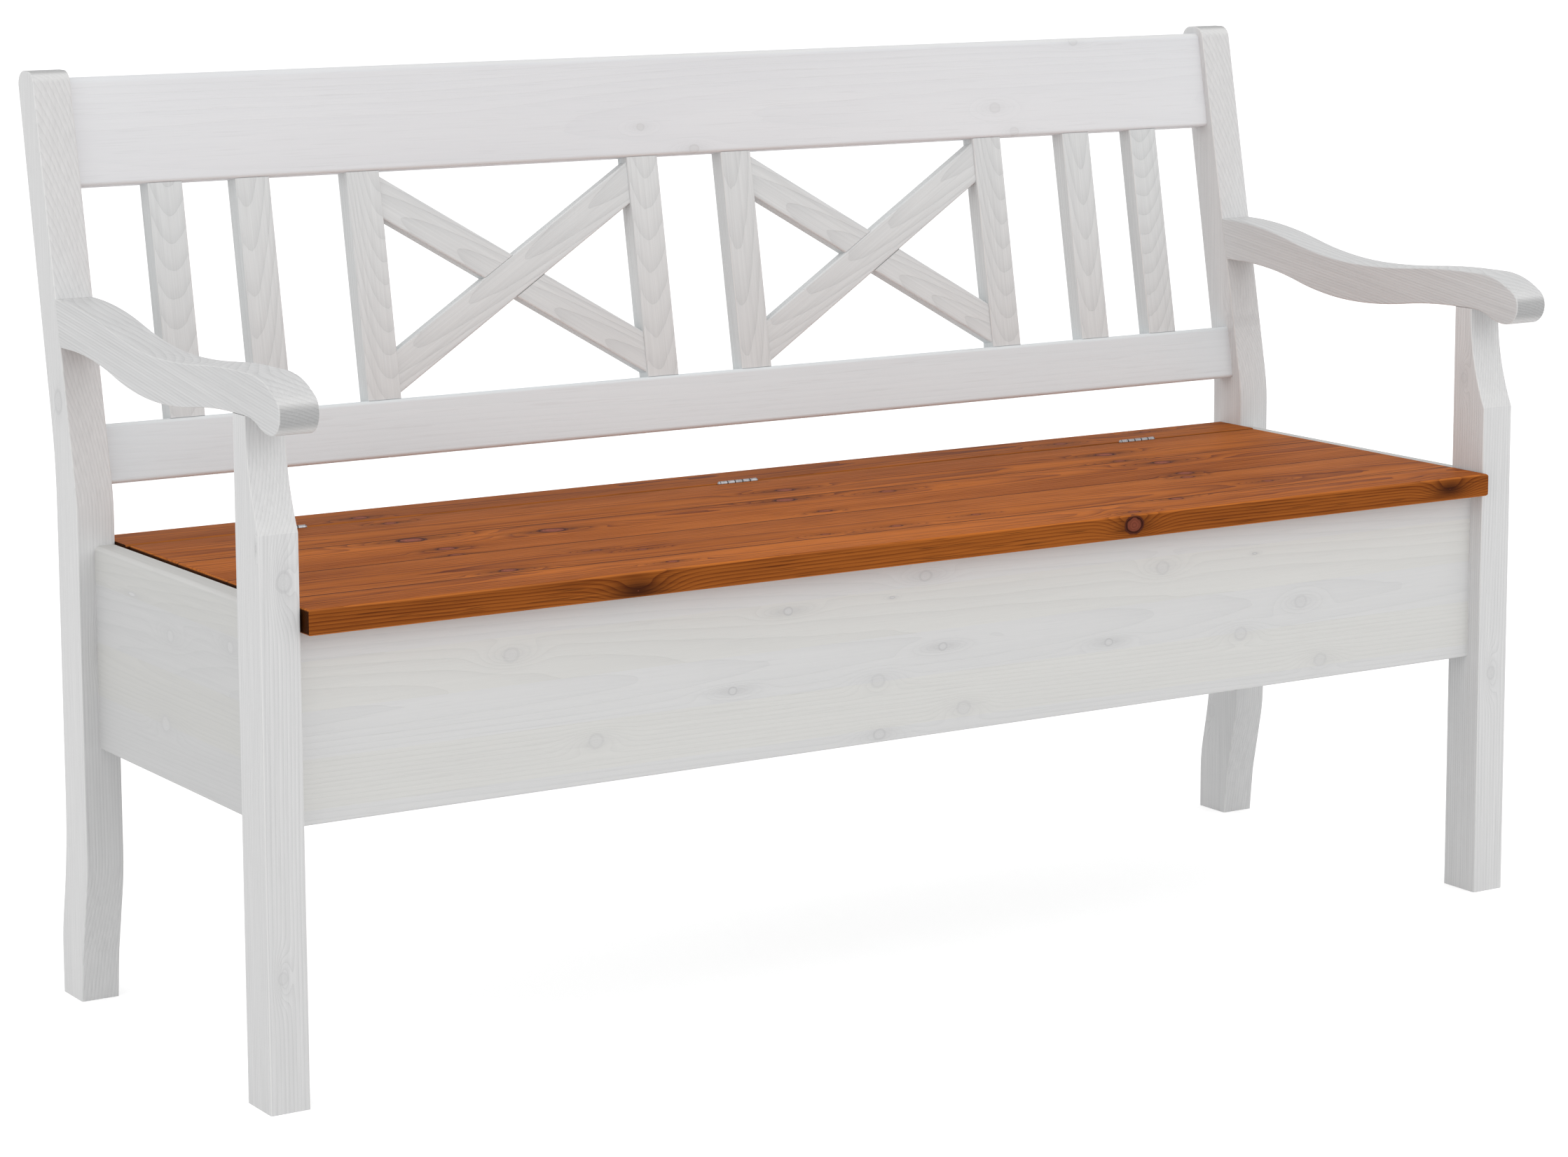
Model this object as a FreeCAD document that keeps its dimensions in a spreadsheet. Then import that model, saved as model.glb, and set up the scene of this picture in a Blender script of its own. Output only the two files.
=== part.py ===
"""Settle bench with a storage chest under a hinged lid.

The bench has two end frames of a front post, a curved rear post and an S-shaped armrest. A wide top
rail, a lower rail, upright slats and two half-lapped crosses make the reclined back. Four panels and a
bottom board make the chest. The seat is a fixed rear strip and a lid of edge-glued boards, joined by
three butt hinges.

Millimetres. X runs along the bench, Y towards the back, Z up. The origin is on the floor, in the middle
of the bench's length and of its depth. Depths are written from the front faces of the front posts, and
each piece is then placed with that plane in front of the origin.
"""
import FreeCAD, Part

import math
import os
import re

import Sketcher
from FreeCAD import Placement, Rotation, Vector

SIZES = (
    ("bench_width", 1500, "over the outer faces of the end posts"),
    ("post_width", 40, "all posts and armrests, along the bench"),
    ("post_round", 1.5, "edges of posts and armrests"),
    ("front_post_depth", 50, "front to back"),
    ("front_post_height", 648, "up to the armrest"),
    ("front_post_recess", 24, "how far the front face curves back below the armrest"),
    ("front_post_curve", 250, "radius of that curve"),
    ("rear_post_setback", 421, "front face beside the chest"),
    ("rear_post_depth", 51, "beside the chest"),
    ("rear_post_height", 934, "floor to top"),
    ("rear_post_top_round", 14, "rounding of the top end"),
    ("top_round_share", 0.4, "of the top end's depth, the most that each rounding takes"),
    ("recline", 10.35, "degrees of the back from upright"),
    ("back_bend_height", 549, "where the rear post's back face starts to recline"),
    ("front_slope", 11.1, "degrees of the rear post's front face, which tapers the post"),
    ("front_bend_height", 514.5, "where the rear post's front face starts to recline"),
    ("back_kick_height", 154.5, "where the rear post's back face starts to splay"),
    ("front_kick_height", 135, "where the rear post's front face starts to splay"),
    ("back_heel_height", 63, "where the back face is upright again"),
    ("front_heel_height", 50, "where the front face is steeper again"),
    ("front_heel_setback", 438, "front face there"),
    ("foot_setback", 443, "front face at the floor"),
    ("foot_depth", 47, "at the floor"),
    ("tight_bend", 180, "radius of the front face's bends and of the heel"),
    ("slow_bend", 500, "radius of the rear post's other bends"),
    ("seat_top", 471, "top of the lid"),
    ("seat_thickness", 24.5, "lid and rear strip"),
    ("seat_round", 3, "edges of lid and strip"),
    ("lid_overhang", 12, "in front of the front posts"),
    ("lid_end_gap", 2.5, "between the lid and each post"),
    ("lid_front_board", 63, "width of the front board"),
    ("lid_middle_board", 113, "width of each of the two middle boards"),
    ("strip_width", 65, "fixed rear strip"),
    ("strip_end_gap", 0.5, "between the strip and each post"),
    ("panel_thickness", 22, "front, rear and side panels"),
    ("panel_bottom", 263, "lower edge of the panels"),
    ("panel_round", 2, "small rounding of the panels"),
    ("front_panel_setback", 19, "behind the front posts' faces"),
    ("side_panel_drop", 2.5, "top of the side panels below the seat"),
    ("side_panel_round", 6, "outer top edge of the side panels"),
    ("cleat_size", 18, "square section of the strips that carry the bottom"),
    ("cleat_lift", 3, "above the panels' lower edge"),
    ("cleat_play", 0.5, "at each end of a cleat"),
    ("bottom_thickness", 10, "bottom board"),
    ("bottom_play", 1, "round the bottom board"),
    ("rail_thickness", 25, "both rails of the back"),
    ("rail_back_inset", 6.3, "from the rear post's back face"),
    ("rail_round", 4, "edges of the rails"),
    ("crown_round", 7, "top edges of the top rail"),
    ("lower_rail_rise", 56.5, "above the seat, along the back"),
    ("lower_rail_width", 60, "along the back"),
    ("top_rail_rise", 354, "above the seat, along the back"),
    ("top_rail_width", 110, "along the back"),
    ("slat_width", 38, "upright slats"),
    ("slat_thickness", 21, "upright slats"),
    ("slat_recess", 2, "behind the rails' front faces"),
    ("slat_round", 1.5, "long edges of the slats"),
    ("centre_gap", 80.5, "between the two middle slats"),
    ("outer_gap", 87, "between a cross's outer slat and the next"),
    ("end_gap", 58.5, "between the two outermost slats"),
    ("side_gap", 75.25, "between the outermost slat and the post"),
    ("tenon_length", 12, "slat tenons in the rails"),
    ("tenon_width", 28, "slat tenons"),
    ("tenon_thickness", 10, "slat tenons"),
    ("tenon_play", 0.2, "round and beyond each tenon"),
    ("brace_width", 38, "braces of the crosses"),
    ("brace_thickness", 16, "braces of the crosses"),
    ("brace_gap", 5, "between a brace's end and the rail"),
    ("brace_round", 2, "long edges of the braces"),
    ("lap_play", 0.1, "in the half laps"),
    ("arm_rear_top_rise", 64, "top of the armrest at the rear post, above the front post"),
    ("arm_rear_under_rise", 16.5, "underside at the rear post, above the front post"),
    ("arm_rear_land", 430, "where the level rear underside ends"),
    ("arm_dip_top_rise", 32, "lowest point of the top, above the front post"),
    ("arm_dip_setback", 205, "where that is"),
    ("arm_dip_under_drop", 11, "lowest point of the underside, below the front post's top"),
    ("arm_dip_under_setback", 215, "where that is"),
    ("arm_crest_rise", 40, "front crest of the top, above the front post"),
    ("arm_crest_setback", 38, "where the crest's level part ends"),
    ("arm_land_front", 22, "level underside on the front post, front end"),
    ("arm_land_back", 54, "level underside on the front post, back end"),
    ("arm_reach", 49.5, "nose in front of the front posts"),
    ("arm_chin_drop", 12, "underside of the nose, below the front post's top"),
    ("arm_chin_radius", 20.5, "lower front of the nose"),
    ("arm_nose_radius", 18, "upper front of the nose"),
    ("arm_brow_radius", 100, "between the nose and the crest"),
    ("dowel_radius", 4, "dowels of the frame and panels"),
    ("dowel_length", 40, "half in each piece"),
    ("dowel_play", 0.05, "round each dowel, on the radius"),
    ("dowel_end_play", 1, "beyond each end of a dowel"),
    ("rail_dowel_inset", 18, "from a lower rail's edge to its dowels"),
    ("crown_dowel_inset", 28, "from the top rail's edges to its dowels"),
    ("arm_dowel_inset", 13, "from the armrest's rear top and underside to its dowels"),
    ("panel_dowel_inset", 30, "from a panel's lower edge to its first dowel"),
    ("panel_dowel_pitch", 60, "between the dowels of a panel's end"),
    ("side_dowel_shift", 20, "side panels' dowels above the others, to pass them in the posts"),
    ("strip_dowel_length", 28, "dowels under the rear strip"),
    ("strip_dowel_rise", 12, "of these dowels above the rear panel"),
    ("strip_dowel_inset", 120, "from the posts to the outer dowels"),
    ("brace_dowel_radius", 3, "dowels in the braces' ends"),
    ("brace_dowel_length", 28, "half in each piece"),
    ("hinge_axis_setback", 394, "hinge pins' centre line"),
    ("hinge_inset", 172, "from a post to the middle of the nearest hinge"),
    ("hinge_length", 47, "over the knuckles"),
    ("hinge_gap", 3.4, "between the strip and the lid"),
    ("knuckle_radius", 2.45, "outside of the knuckles"),
    ("knuckle_play", 0.25, "between knuckles"),
    ("leaf_thickness", 1.2, "hinge leaves"),
    ("leaf_drop", 21, "leaves' lower edge below the pin"),
    ("leaf_top_drop", 3.1, "leaves' upper edge below the pin, clear of the other leaf's knuckles"),
    ("leaf_tab_drop", 1.7, "upper edge of the tabs that join the knuckles"),
    ("pin_radius", 1.3, "hinge pins"),
    ("pin_play", 0.05, "round each pin, on the radius"),
    ("pin_head_length", 2, "domed head"),
    ("pin_end_length", 1, "stub at the other end"),
    ("hinge_screw_pitch", 16, "between the screws of a leaf"),
    ("hinge_screw_drop", 12.5, "screws below the pin"),
    ("hinge_screw_length", 16, "overall"),
    ("hinge_screw_radius", 1.4, "shank"),
    ("hinge_head_radius", 2.4, "countersunk head"),
    ("cleat_screw_length", 30, "overall"),
    ("cleat_screw_radius", 1.75, "shank"),
    ("cleat_head_radius", 3.5, "countersunk head"),
    ("cleat_screw_inset", 110, "from a long cleat's end to its first screw"),
    ("side_screw_inset", 70, "from a short cleat's end to its first screw"),
    ("screw_play", 0.05, "round each screw, on the radius"),
)
ALIASES = re.compile(r"\b(" + "|".join(name for name, _, _ in SIZES) + r")\b")

# Places that several pieces share, written with the sizes' names.
INNER = "(bench_width / 2 - post_width)"
BACK_FACE = "(rear_post_setback + rear_post_depth)"
TOP_DEPTH = ("(" + BACK_FACE + " + (rear_post_height - back_bend_height) * tan(recline)"
             " - rear_post_setback - (rear_post_height - front_bend_height) * tan(front_slope))")
TOP_ROUND = "min(rear_post_top_round; top_round_share * " + TOP_DEPTH + ")"
BACK_RISE = "(rear_post_height - " + TOP_ROUND + " - back_bend_height)"
BACK_REACH = ("(" + BACK_FACE + " + " + BACK_RISE + " * tan(recline) + " + TOP_ROUND
              + " * (1 - 1 / cos(recline)))")
ORIGIN_SETBACK = "((" + BACK_REACH + " - arm_reach) / 2)"
SEAT_UNDER = "(seat_top - seat_thickness)"
STRIP_FRONT = "(hinge_axis_setback + hinge_gap / 2)"
STRIP_BACK = "(" + STRIP_FRONT + " + strip_width)"
LID_BACK = "(hinge_axis_setback - hinge_gap / 2)"
LID_END = "(" + INNER + " - lid_end_gap)"
FRONT_PANEL_BACK = "(front_panel_setback + panel_thickness)"
FRONT_PANEL_MIDDLE = "(front_panel_setback + panel_thickness / 2)"
REAR_PANEL_FRONT = "(" + STRIP_BACK + " - panel_thickness)"
REAR_PANEL_MIDDLE = "(" + STRIP_BACK + " - panel_thickness / 2)"
SIDE_PANEL_TOP = "(seat_top - side_panel_drop)"
CLEAT_BOTTOM = "(panel_bottom + cleat_lift)"
CLEAT_TOP = "(" + CLEAT_BOTTOM + " + cleat_size)"
CLEAT_MIDDLE = "(" + CLEAT_BOTTOM + " + cleat_size / 2)"
SHORT_CLEAT_FRONT = "(" + FRONT_PANEL_BACK + " + cleat_size + cleat_play)"
SHORT_CLEAT_BACK = "(" + REAR_PANEL_FRONT + " - cleat_size - cleat_play)"
HINGE_SCREW_HEIGHT = "(seat_top - hinge_screw_drop)"
ARM_REAR_TOP = "(front_post_height + arm_rear_top_rise)"
ARM_REAR_UNDER = "(front_post_height + arm_rear_under_rise)"
ARM_DIP_TOP = "(front_post_height + arm_dip_top_rise)"
ARM_DIP_UNDER = "(front_post_height - arm_dip_under_drop)"
ARM_CREST_TOP = "(front_post_height + arm_crest_rise)"
ARM_CHIN_UNDER = "(front_post_height - arm_chin_drop)"

# Holes, from the fasteners that fill them.
HOLE_RADIUS = "(dowel_radius + dowel_play)"
HOLE_DEPTH = "(dowel_length / 2 + dowel_end_play)"
BRACE_HOLE_RADIUS = "(brace_dowel_radius + dowel_play)"
BRACE_HOLE_DEPTH = "(brace_dowel_length / 2 + dowel_end_play)"
CLEAT_PILOT_RADIUS = "(cleat_screw_radius + screw_play)"
CLEAT_PILOT_DEPTH = "(cleat_screw_length - cleat_size + dowel_end_play)"
HINGE_PILOT_RADIUS = "(hinge_screw_radius + screw_play)"
HINGE_PILOT_DEPTH = "(hinge_screw_length - leaf_thickness + dowel_end_play)"
ARM_DOWEL_SETBACK = "((front_post_recess + front_post_depth) / 2)"
ARM_DOWEL_HEIGHT = "((" + ARM_REAR_TOP + " + " + ARM_REAR_UNDER + ") / 2)"
ARM_DOWEL_MIDDLE = "(rear_post_setback + (" + ARM_DOWEL_HEIGHT + " - front_bend_height) * tan(front_slope))"
ARM_HOLE_START = "(" + ARM_DOWEL_MIDDLE + " - dowel_length / 2 - dowel_end_play)"
ARM_HOLE_LENGTH = "(dowel_length + 2 * dowel_end_play)"

# The back has a plane of its own: its origin is on the rails' front plane at the seat's height, its Y
# runs up the slope and its Z points forward, out of the rails' front faces.
BACK_PLANE = ("(" + BACK_FACE + " + (seat_top - back_bend_height) * tan(recline)"
              " - (rail_back_inset + rail_thickness) / cos(recline))")
LOWER_RAIL_TOP = "(lower_rail_rise + lower_rail_width)"
SLAT_MIDDLE = "(slat_recess + slat_thickness / 2)"
CROSS_SPAN = "(" + INNER + " - side_gap - end_gap - outer_gap - 4 * slat_width - centre_gap / 2)"
CROSS_MIDDLE = "((" + LOWER_RAIL_TOP + " + top_rail_rise) / 2)"
CROSS_HEIGHT = "(top_rail_rise - " + LOWER_RAIL_TOP + " - 2 * brace_gap)"
CROSS_CENTRE = "(centre_gap / 2 + slat_width + " + CROSS_SPAN + " / 2)"

# A brace of width w that fits a panel of span L and height H corner to corner has this slope.
BRACE_DIAGONAL = "sqrt(" + CROSS_SPAN + " ^ 2 + " + CROSS_HEIGHT + " ^ 2 - brace_width ^ 2)"
BRACE_TAN = ("((" + CROSS_SPAN + " * " + CROSS_HEIGHT + " - brace_width * " + BRACE_DIAGONAL + ")"
             " / (" + CROSS_SPAN + " ^ 2 - brace_width ^ 2))")
BRACE_SECANT = "sqrt(1 + " + BRACE_TAN + " ^ 2)"
BRACE_END = "(brace_width * " + BRACE_SECANT + ")"
BRACE_END_OFFSET = "(" + CROSS_HEIGHT + " / 2 - " + BRACE_END + " / 2)"

SLAT_OFFSETS = (
    "(centre_gap / 2 + slat_width / 2)",
    "(centre_gap / 2 + slat_width * 1.5 + " + CROSS_SPAN + ")",
    "(centre_gap / 2 + slat_width * 2.5 + " + CROSS_SPAN + " + outer_gap)",
    "(centre_gap / 2 + slat_width * 3.5 + " + CROSS_SPAN + " + outer_gap + end_gap)",
)
SLAT_PLACES = tuple("(-" + offset + ")" for offset in reversed(SLAT_OFFSETS)) + SLAT_OFFSETS
HANDS = {"left": -1, "right": 1}
HINGES = {"left": "(hinge_inset - " + INNER + ")", "centre": "0", "right": "(" + INNER + " - hinge_inset)"}
PLANE_AXES = {"XY_Plane": 1, "YZ_Plane": 1, "XZ_Plane": -1}
TOLERANCE = 1e-4


def cells(expression):
    """Write the sheet's name before each size in an expression."""
    return ALIASES.sub(r"Sizes.\1", expression)


def value(expression):
    """The number that an expression gives now."""
    result = document.Sizes.evalExpression(cells(expression))
    return float(getattr(result, "Value", result))


def minus(expression):
    """The same length the other way."""
    return "(-(" + expression + "))"


def handed(hand, expression):
    """An expression on the left (-1) or right (+1) side."""
    return "(" + str(hand) + " * " + expression + ")"


def make_sheet():
    """Write the sizes, their names and what they are into the sheet."""
    sheet = document.addObject("Spreadsheet::Sheet", "Sizes")
    for row, (name, number, note) in enumerate(SIZES, start=1):
        sheet.set("A%d" % row, name)
        sheet.set("B%d" % row, str(number))
        sheet.set("C%d" % row, note)
        sheet.setAlias("B%d" % row, name)
    document.recompute()


def post_back(height):
    """Depth of the rear post's reclined back face at a height."""
    return "(" + BACK_FACE + " + (" + height + " - back_bend_height) * tan(recline))"


def post_front(height):
    """Depth of the rear post's reclined front face at a height."""
    return "(rear_post_setback + (" + height + " - front_bend_height) * tan(front_slope))"


def on_back(rise, depth):
    """Depth and height, in the bench's frame, of a point of the back's own plane."""
    across = "(" + BACK_PLANE + " + " + rise + " * sin(recline) + " + depth + " * cos(recline))"
    up = "(seat_top + " + rise + " * cos(recline) - " + depth + " * sin(recline))"
    return across, up


class Outline:
    """A closed outline: corners as pairs of expressions, and the arcs between them."""

    def __init__(self, start):
        self.corners = [start]
        self.arcs = {}

    def line(self, *corners):
        """Go on straight through the corners."""
        self.corners.extend(corners)
        return self

    def arc(self, corner, radius, turn):
        """Go on along an arc that turns left (+1) or right (-1) on its way."""
        self.arcs[len(self.corners) - 1] = (radius, turn)
        self.corners.append(corner)
        return self

    def bend(self, corner, turn):
        """Go on along two equal arcs that start and end level."""
        (x0, y0), (x1, y1) = self.corners[-1], corner
        run, rise = "(" + x1 + " - " + x0 + ")", "(" + y1 + " - " + y0 + ")"
        radius = "((" + run + " ^ 2 + " + rise + " ^ 2) / (4 * abs" + rise + "))"
        middle = ("((" + x0 + " + " + x1 + ") / 2)", "((" + y0 + " + " + y1 + ") / 2)")
        return self.arc(middle, radius, turn).arc(corner, radius, -turn)


def rectangle(x0, y0, x1, y1):
    """A rectangle between two opposite corners."""
    return Outline((x0, y0)).line((x1, y0), (x1, y1), (x0, y1))


def draw_outline(sketch, outline):
    """Draw an outline in a sketch and bind every corner and radius."""
    first = sketch.GeometryCount
    count = len(outline.corners)
    points = [Vector(value(x), value(y), 0) for x, y in outline.corners]
    ends = []
    for index, start in enumerate(points):
        end = points[(index + 1) % count]
        if index not in outline.arcs:
            sketch.addGeometry(Part.LineSegment(start, end), False)
            ends.append((1, 2))
            continue
        radius, turn = value(outline.arcs[index][0]), outline.arcs[index][1]
        chord = end - start
        normal = Vector(-chord.y, chord.x, 0) / chord.Length
        centre = (start + end) / 2 + normal * turn * math.sqrt(radius ** 2 - chord.Length ** 2 / 4)
        near, far = (start, end) if turn > 0 else (end, start)
        angles = [math.atan2(point.y - centre.y, point.x - centre.x) for point in (near, far)]
        circle = Part.Circle(centre, Vector(0, 0, 1), radius)
        sketch.addGeometry(Part.ArcOfCircle(circle, angles[0], angles[1]), False)
        ends.append((1, 2) if turn > 0 else (2, 1))
    for index in range(count):
        following = (index + 1) % count
        meeting = Sketcher.Constraint("Coincident", first + index, ends[index][1], first + following,
                                      ends[following][0])
        sketch.addConstraint(meeting)
    for index, (x, y) in enumerate(outline.corners):
        pin_point(sketch, first + index, ends[index][0], x, y)
    for index, (radius, _) in outline.arcs.items():
        bind_radius(sketch, first + index, radius)


def draw_circle(sketch, x, y, radius):
    """Draw a circle in a sketch and bind its centre and radius."""
    sketch.addGeometry(Part.Circle(Vector(value(x), value(y), 0), Vector(0, 0, 1), value(radius)), False)
    circle = sketch.GeometryCount - 1
    pin_point(sketch, circle, 3, x, y)
    bind_radius(sketch, circle, radius)


def pin_point(sketch, geometry, point, x, y):
    """Bind a point's distances from the sketch's origin."""
    for kind, expression in (("DistanceX", x), ("DistanceY", y)):
        constraint = Sketcher.Constraint(kind, -1, 1, geometry, point, value(expression))
        index = sketch.addConstraint(constraint)
        sketch.setExpression("Constraints[%d]" % index, cells(expression))


def bind_radius(sketch, geometry, radius):
    """Bind the radius of an arc or circle."""
    index = sketch.addConstraint(Sketcher.Constraint("Radius", geometry, value(radius)))
    sketch.setExpression("Constraints[%d]" % index, cells(radius))


def place(piece, x="0", y="0", z="0", axis=None, angle=None):
    """Bind a piece's place, with depths from the front posts' faces, and its turn."""
    piece.setExpression("Placement.Base.x", cells(x))
    piece.setExpression("Placement.Base.y", cells("(" + y + " - " + ORIGIN_SETBACK + ")"))
    piece.setExpression("Placement.Base.z", cells(z))
    if axis:
        for name, part in zip("xyz", axis):
            piece.setExpression("Placement.Rotation.Axis." + name, str(part))
        piece.setExpression("Placement.Rotation.Angle", cells(angle))


class Piece:
    """One sub-part made as a body, and the steps that shape it."""

    def __init__(self, label):
        self.body = document.addObject("PartDesign::Body", label)
        self.body.Label = label

    def sketch(self, name, role, at):
        """A sketch on one of the body's own planes, moved along that plane's axis."""
        plane = next(part for part in self.body.Origin.OriginFeatures if part.Role == role)
        sketch = self.body.newObject("Sketcher::SketchObject", name + "_sketch")
        sketch.AttachmentSupport = [(plane, "")]
        sketch.MapMode = "FlatFace"
        sketch.setExpression("AttachmentOffset.Base.z", cells(at if PLANE_AXES[role] > 0 else minus(at)))
        return sketch

    def pad(self, name, role, outlines, length, at="0", towards=1):
        """Pad outlines along the plane's axis."""
        sketch = self.sketch(name, role, at)
        for outline in outlines:
            draw_outline(sketch, outline)
        return self.extend("PartDesign::Pad", name, sketch, length, towards * PLANE_AXES[role] < 0)

    def pad_round(self, name, role, circles, length, at="0", towards=1):
        """Pad circles, each a centre and a radius, along the plane's axis."""
        sketch = self.sketch(name, role, at)
        for x, y, radius in circles:
            draw_circle(sketch, x, y, radius)
        return self.extend("PartDesign::Pad", name, sketch, length, towards * PLANE_AXES[role] < 0)

    def cut(self, name, role, outlines, depth, at="0", towards=1):
        """Cut outlines out along the plane's axis."""
        sketch = self.sketch(name, role, at)
        for outline in outlines:
            draw_outline(sketch, outline)
        return self.extend("PartDesign::Pocket", name, sketch, depth, towards * PLANE_AXES[role] > 0)

    def drill(self, name, role, centres, radius, depth, at="0", towards=1):
        """Drill holes along the plane's axis."""
        sketch = self.sketch(name, role, at)
        for x, y in centres:
            draw_circle(sketch, x, y, radius)
        return self.extend("PartDesign::Pocket", name, sketch, depth, towards * PLANE_AXES[role] > 0)

    def extend(self, kind, name, sketch, length, backwards):
        """Add the pad or pocket of a sketch."""
        feature = self.body.newObject(kind, name)
        feature.Profile = sketch
        feature.Length = value(length)
        feature.setExpression("Length", cells(length))
        feature.Reversed = backwards
        sketch.Visibility = False
        document.recompute()
        return feature

    def round(self, name, radius, chosen):
        """Round the edges of the body so far that a test chooses."""
        base = self.body.Tip
        names = ["Edge%d" % (index + 1) for index, edge in enumerate(base.Shape.Edges) if chosen(edge)]
        fillet = self.body.newObject("PartDesign::Fillet", name)
        fillet.Base = (base, names)
        fillet.Radius = value(radius)
        fillet.setExpression("Radius", cells(radius))
        document.recompute()
        return fillet

    def place(self, **places):
        """Place the body in the bench's frame."""
        place(self.body, **places)
        return self


def edge_lies(edge, axis, position):
    """Whether an edge lies in the plane across an axis at a position."""
    box = edge.BoundBox
    low, high = getattr(box, axis + "Min"), getattr(box, axis + "Max")
    return abs(low - position) < TOLERANCE and abs(high - position) < TOLERANCE


def in_planes(*planes):
    """A test for edges that lie in one of the planes, each an axis and a position."""
    return lambda edge: any(edge_lies(edge, axis, position) for axis, position in planes)


def along(axis, *planes):
    """A test for edges parallel to an axis that lie in all of the planes."""
    others = [name for name in "XYZ" if name != axis]

    def chosen(edge):
        box = edge.BoundBox
        straight = all(getattr(box, name + "Length") < TOLERANCE for name in others)
        return straight and all(edge_lies(edge, name, position) for name, position in planes)
    return chosen


def at_corners(*corners):
    """A test for edges along the bench through the corners of an outline."""
    tests = [along("X", ("Y", value(y)), ("Z", value(z))) for y, z in corners]
    return lambda edge: any(test(edge) for test in tests)


def make_front_post(side, hand):
    """A front post, whose front face curves back below the armrest."""
    shoulder = "(front_post_height - sqrt(front_post_curve ^ 2 - (front_post_curve - front_post_recess) ^ 2))"
    outline = (Outline(("0", "0")).line(("0", shoulder))
               .arc(("front_post_recess", "front_post_height"), "front_post_curve", 1)
               .line(("front_post_depth", "front_post_height"), ("front_post_depth", "0")))
    post = Piece("front_post_" + side)
    post.pad("blank", "YZ_Plane", [outline], "post_width", towards=hand)
    post.round("shoulder", "post_round", along("X", ("Z", value(shoulder))))
    faces = in_planes(("X", 0), ("X", hand * value("post_width")))
    ends = in_planes(("Z", 0), ("Z", value("front_post_height")))
    post.round("edges", "post_round", lambda edge: faces(edge) and not ends(edge))
    post.drill("front_panel_holes", "YZ_Plane",
               [(FRONT_PANEL_MIDDLE, height) for height in panel_dowel_heights()],
               HOLE_RADIUS, HOLE_DEPTH, towards=hand)
    post.drill("side_panel_holes", "XZ_Plane",
               [(handed(hand, "panel_thickness / 2"), height) for height in side_dowel_heights()],
               HOLE_RADIUS, HOLE_DEPTH, at="front_post_depth", towards=-1)
    post.drill("armrest_hole", "XY_Plane", [(handed(hand, "post_width / 2"), ARM_DOWEL_SETBACK)],
               HOLE_RADIUS, HOLE_DEPTH, at="front_post_height", towards=-1)
    post.place(x=handed(hand, INNER))


def make_rear_post(side, hand):
    """A rear post: splayed foot, upright beside the chest, reclined and tapered above the seat."""
    foot_back = "(foot_setback + foot_depth)"
    front_knee = ("rear_post_setback", "front_bend_height")
    front_kick = ("rear_post_setback", "front_kick_height")
    front_heel = ("front_heel_setback", "front_heel_height")
    back_heel = (foot_back, "back_heel_height")
    back_kick = (BACK_FACE, "back_kick_height")
    back_knee = (BACK_FACE, "back_bend_height")
    outline = (Outline(("foot_setback", "0")).line(front_heel, front_kick, front_knee)
               .line((post_front("rear_post_height"), "rear_post_height"))
               .line((post_back("rear_post_height"), "rear_post_height"))
               .line(back_knee, back_kick, back_heel, (foot_back, "0")))
    post = Piece("rear_post_" + side)
    post.pad("blank", "YZ_Plane", [outline], "post_width", towards=hand)
    post.round("tight_bends", "tight_bend", at_corners(front_knee, front_kick, back_heel))
    post.round("slow_bends", "slow_bend", at_corners(back_knee, back_kick, front_heel))
    post.round("top_end", TOP_ROUND, along("X", ("Z", value("rear_post_height"))))
    faces = in_planes(("X", 0), ("X", hand * value("post_width")))
    floor = in_planes(("Z", 0))
    post.round("edges", "post_round", lambda edge: faces(edge) and not floor(edge))
    inner_holes = [on_back(rise, "rail_thickness / 2") for rise in rail_dowel_rises()]
    inner_holes += [(REAR_PANEL_MIDDLE, height) for height in panel_dowel_heights()]
    post.drill("inner_holes", "YZ_Plane", inner_holes, HOLE_RADIUS, HOLE_DEPTH, towards=hand)
    post.drill("side_panel_holes", "XZ_Plane",
               [(handed(hand, "panel_thickness / 2"), height) for height in side_dowel_heights()],
               HOLE_RADIUS, HOLE_DEPTH, at="rear_post_setback", towards=1)
    post.drill("armrest_holes", "XZ_Plane",
               [(handed(hand, "post_width / 2"), height) for height in arm_dowel_heights()],
               HOLE_RADIUS, ARM_HOLE_LENGTH, at=ARM_HOLE_START, towards=1)
    post.place(x=handed(hand, INNER))


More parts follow.
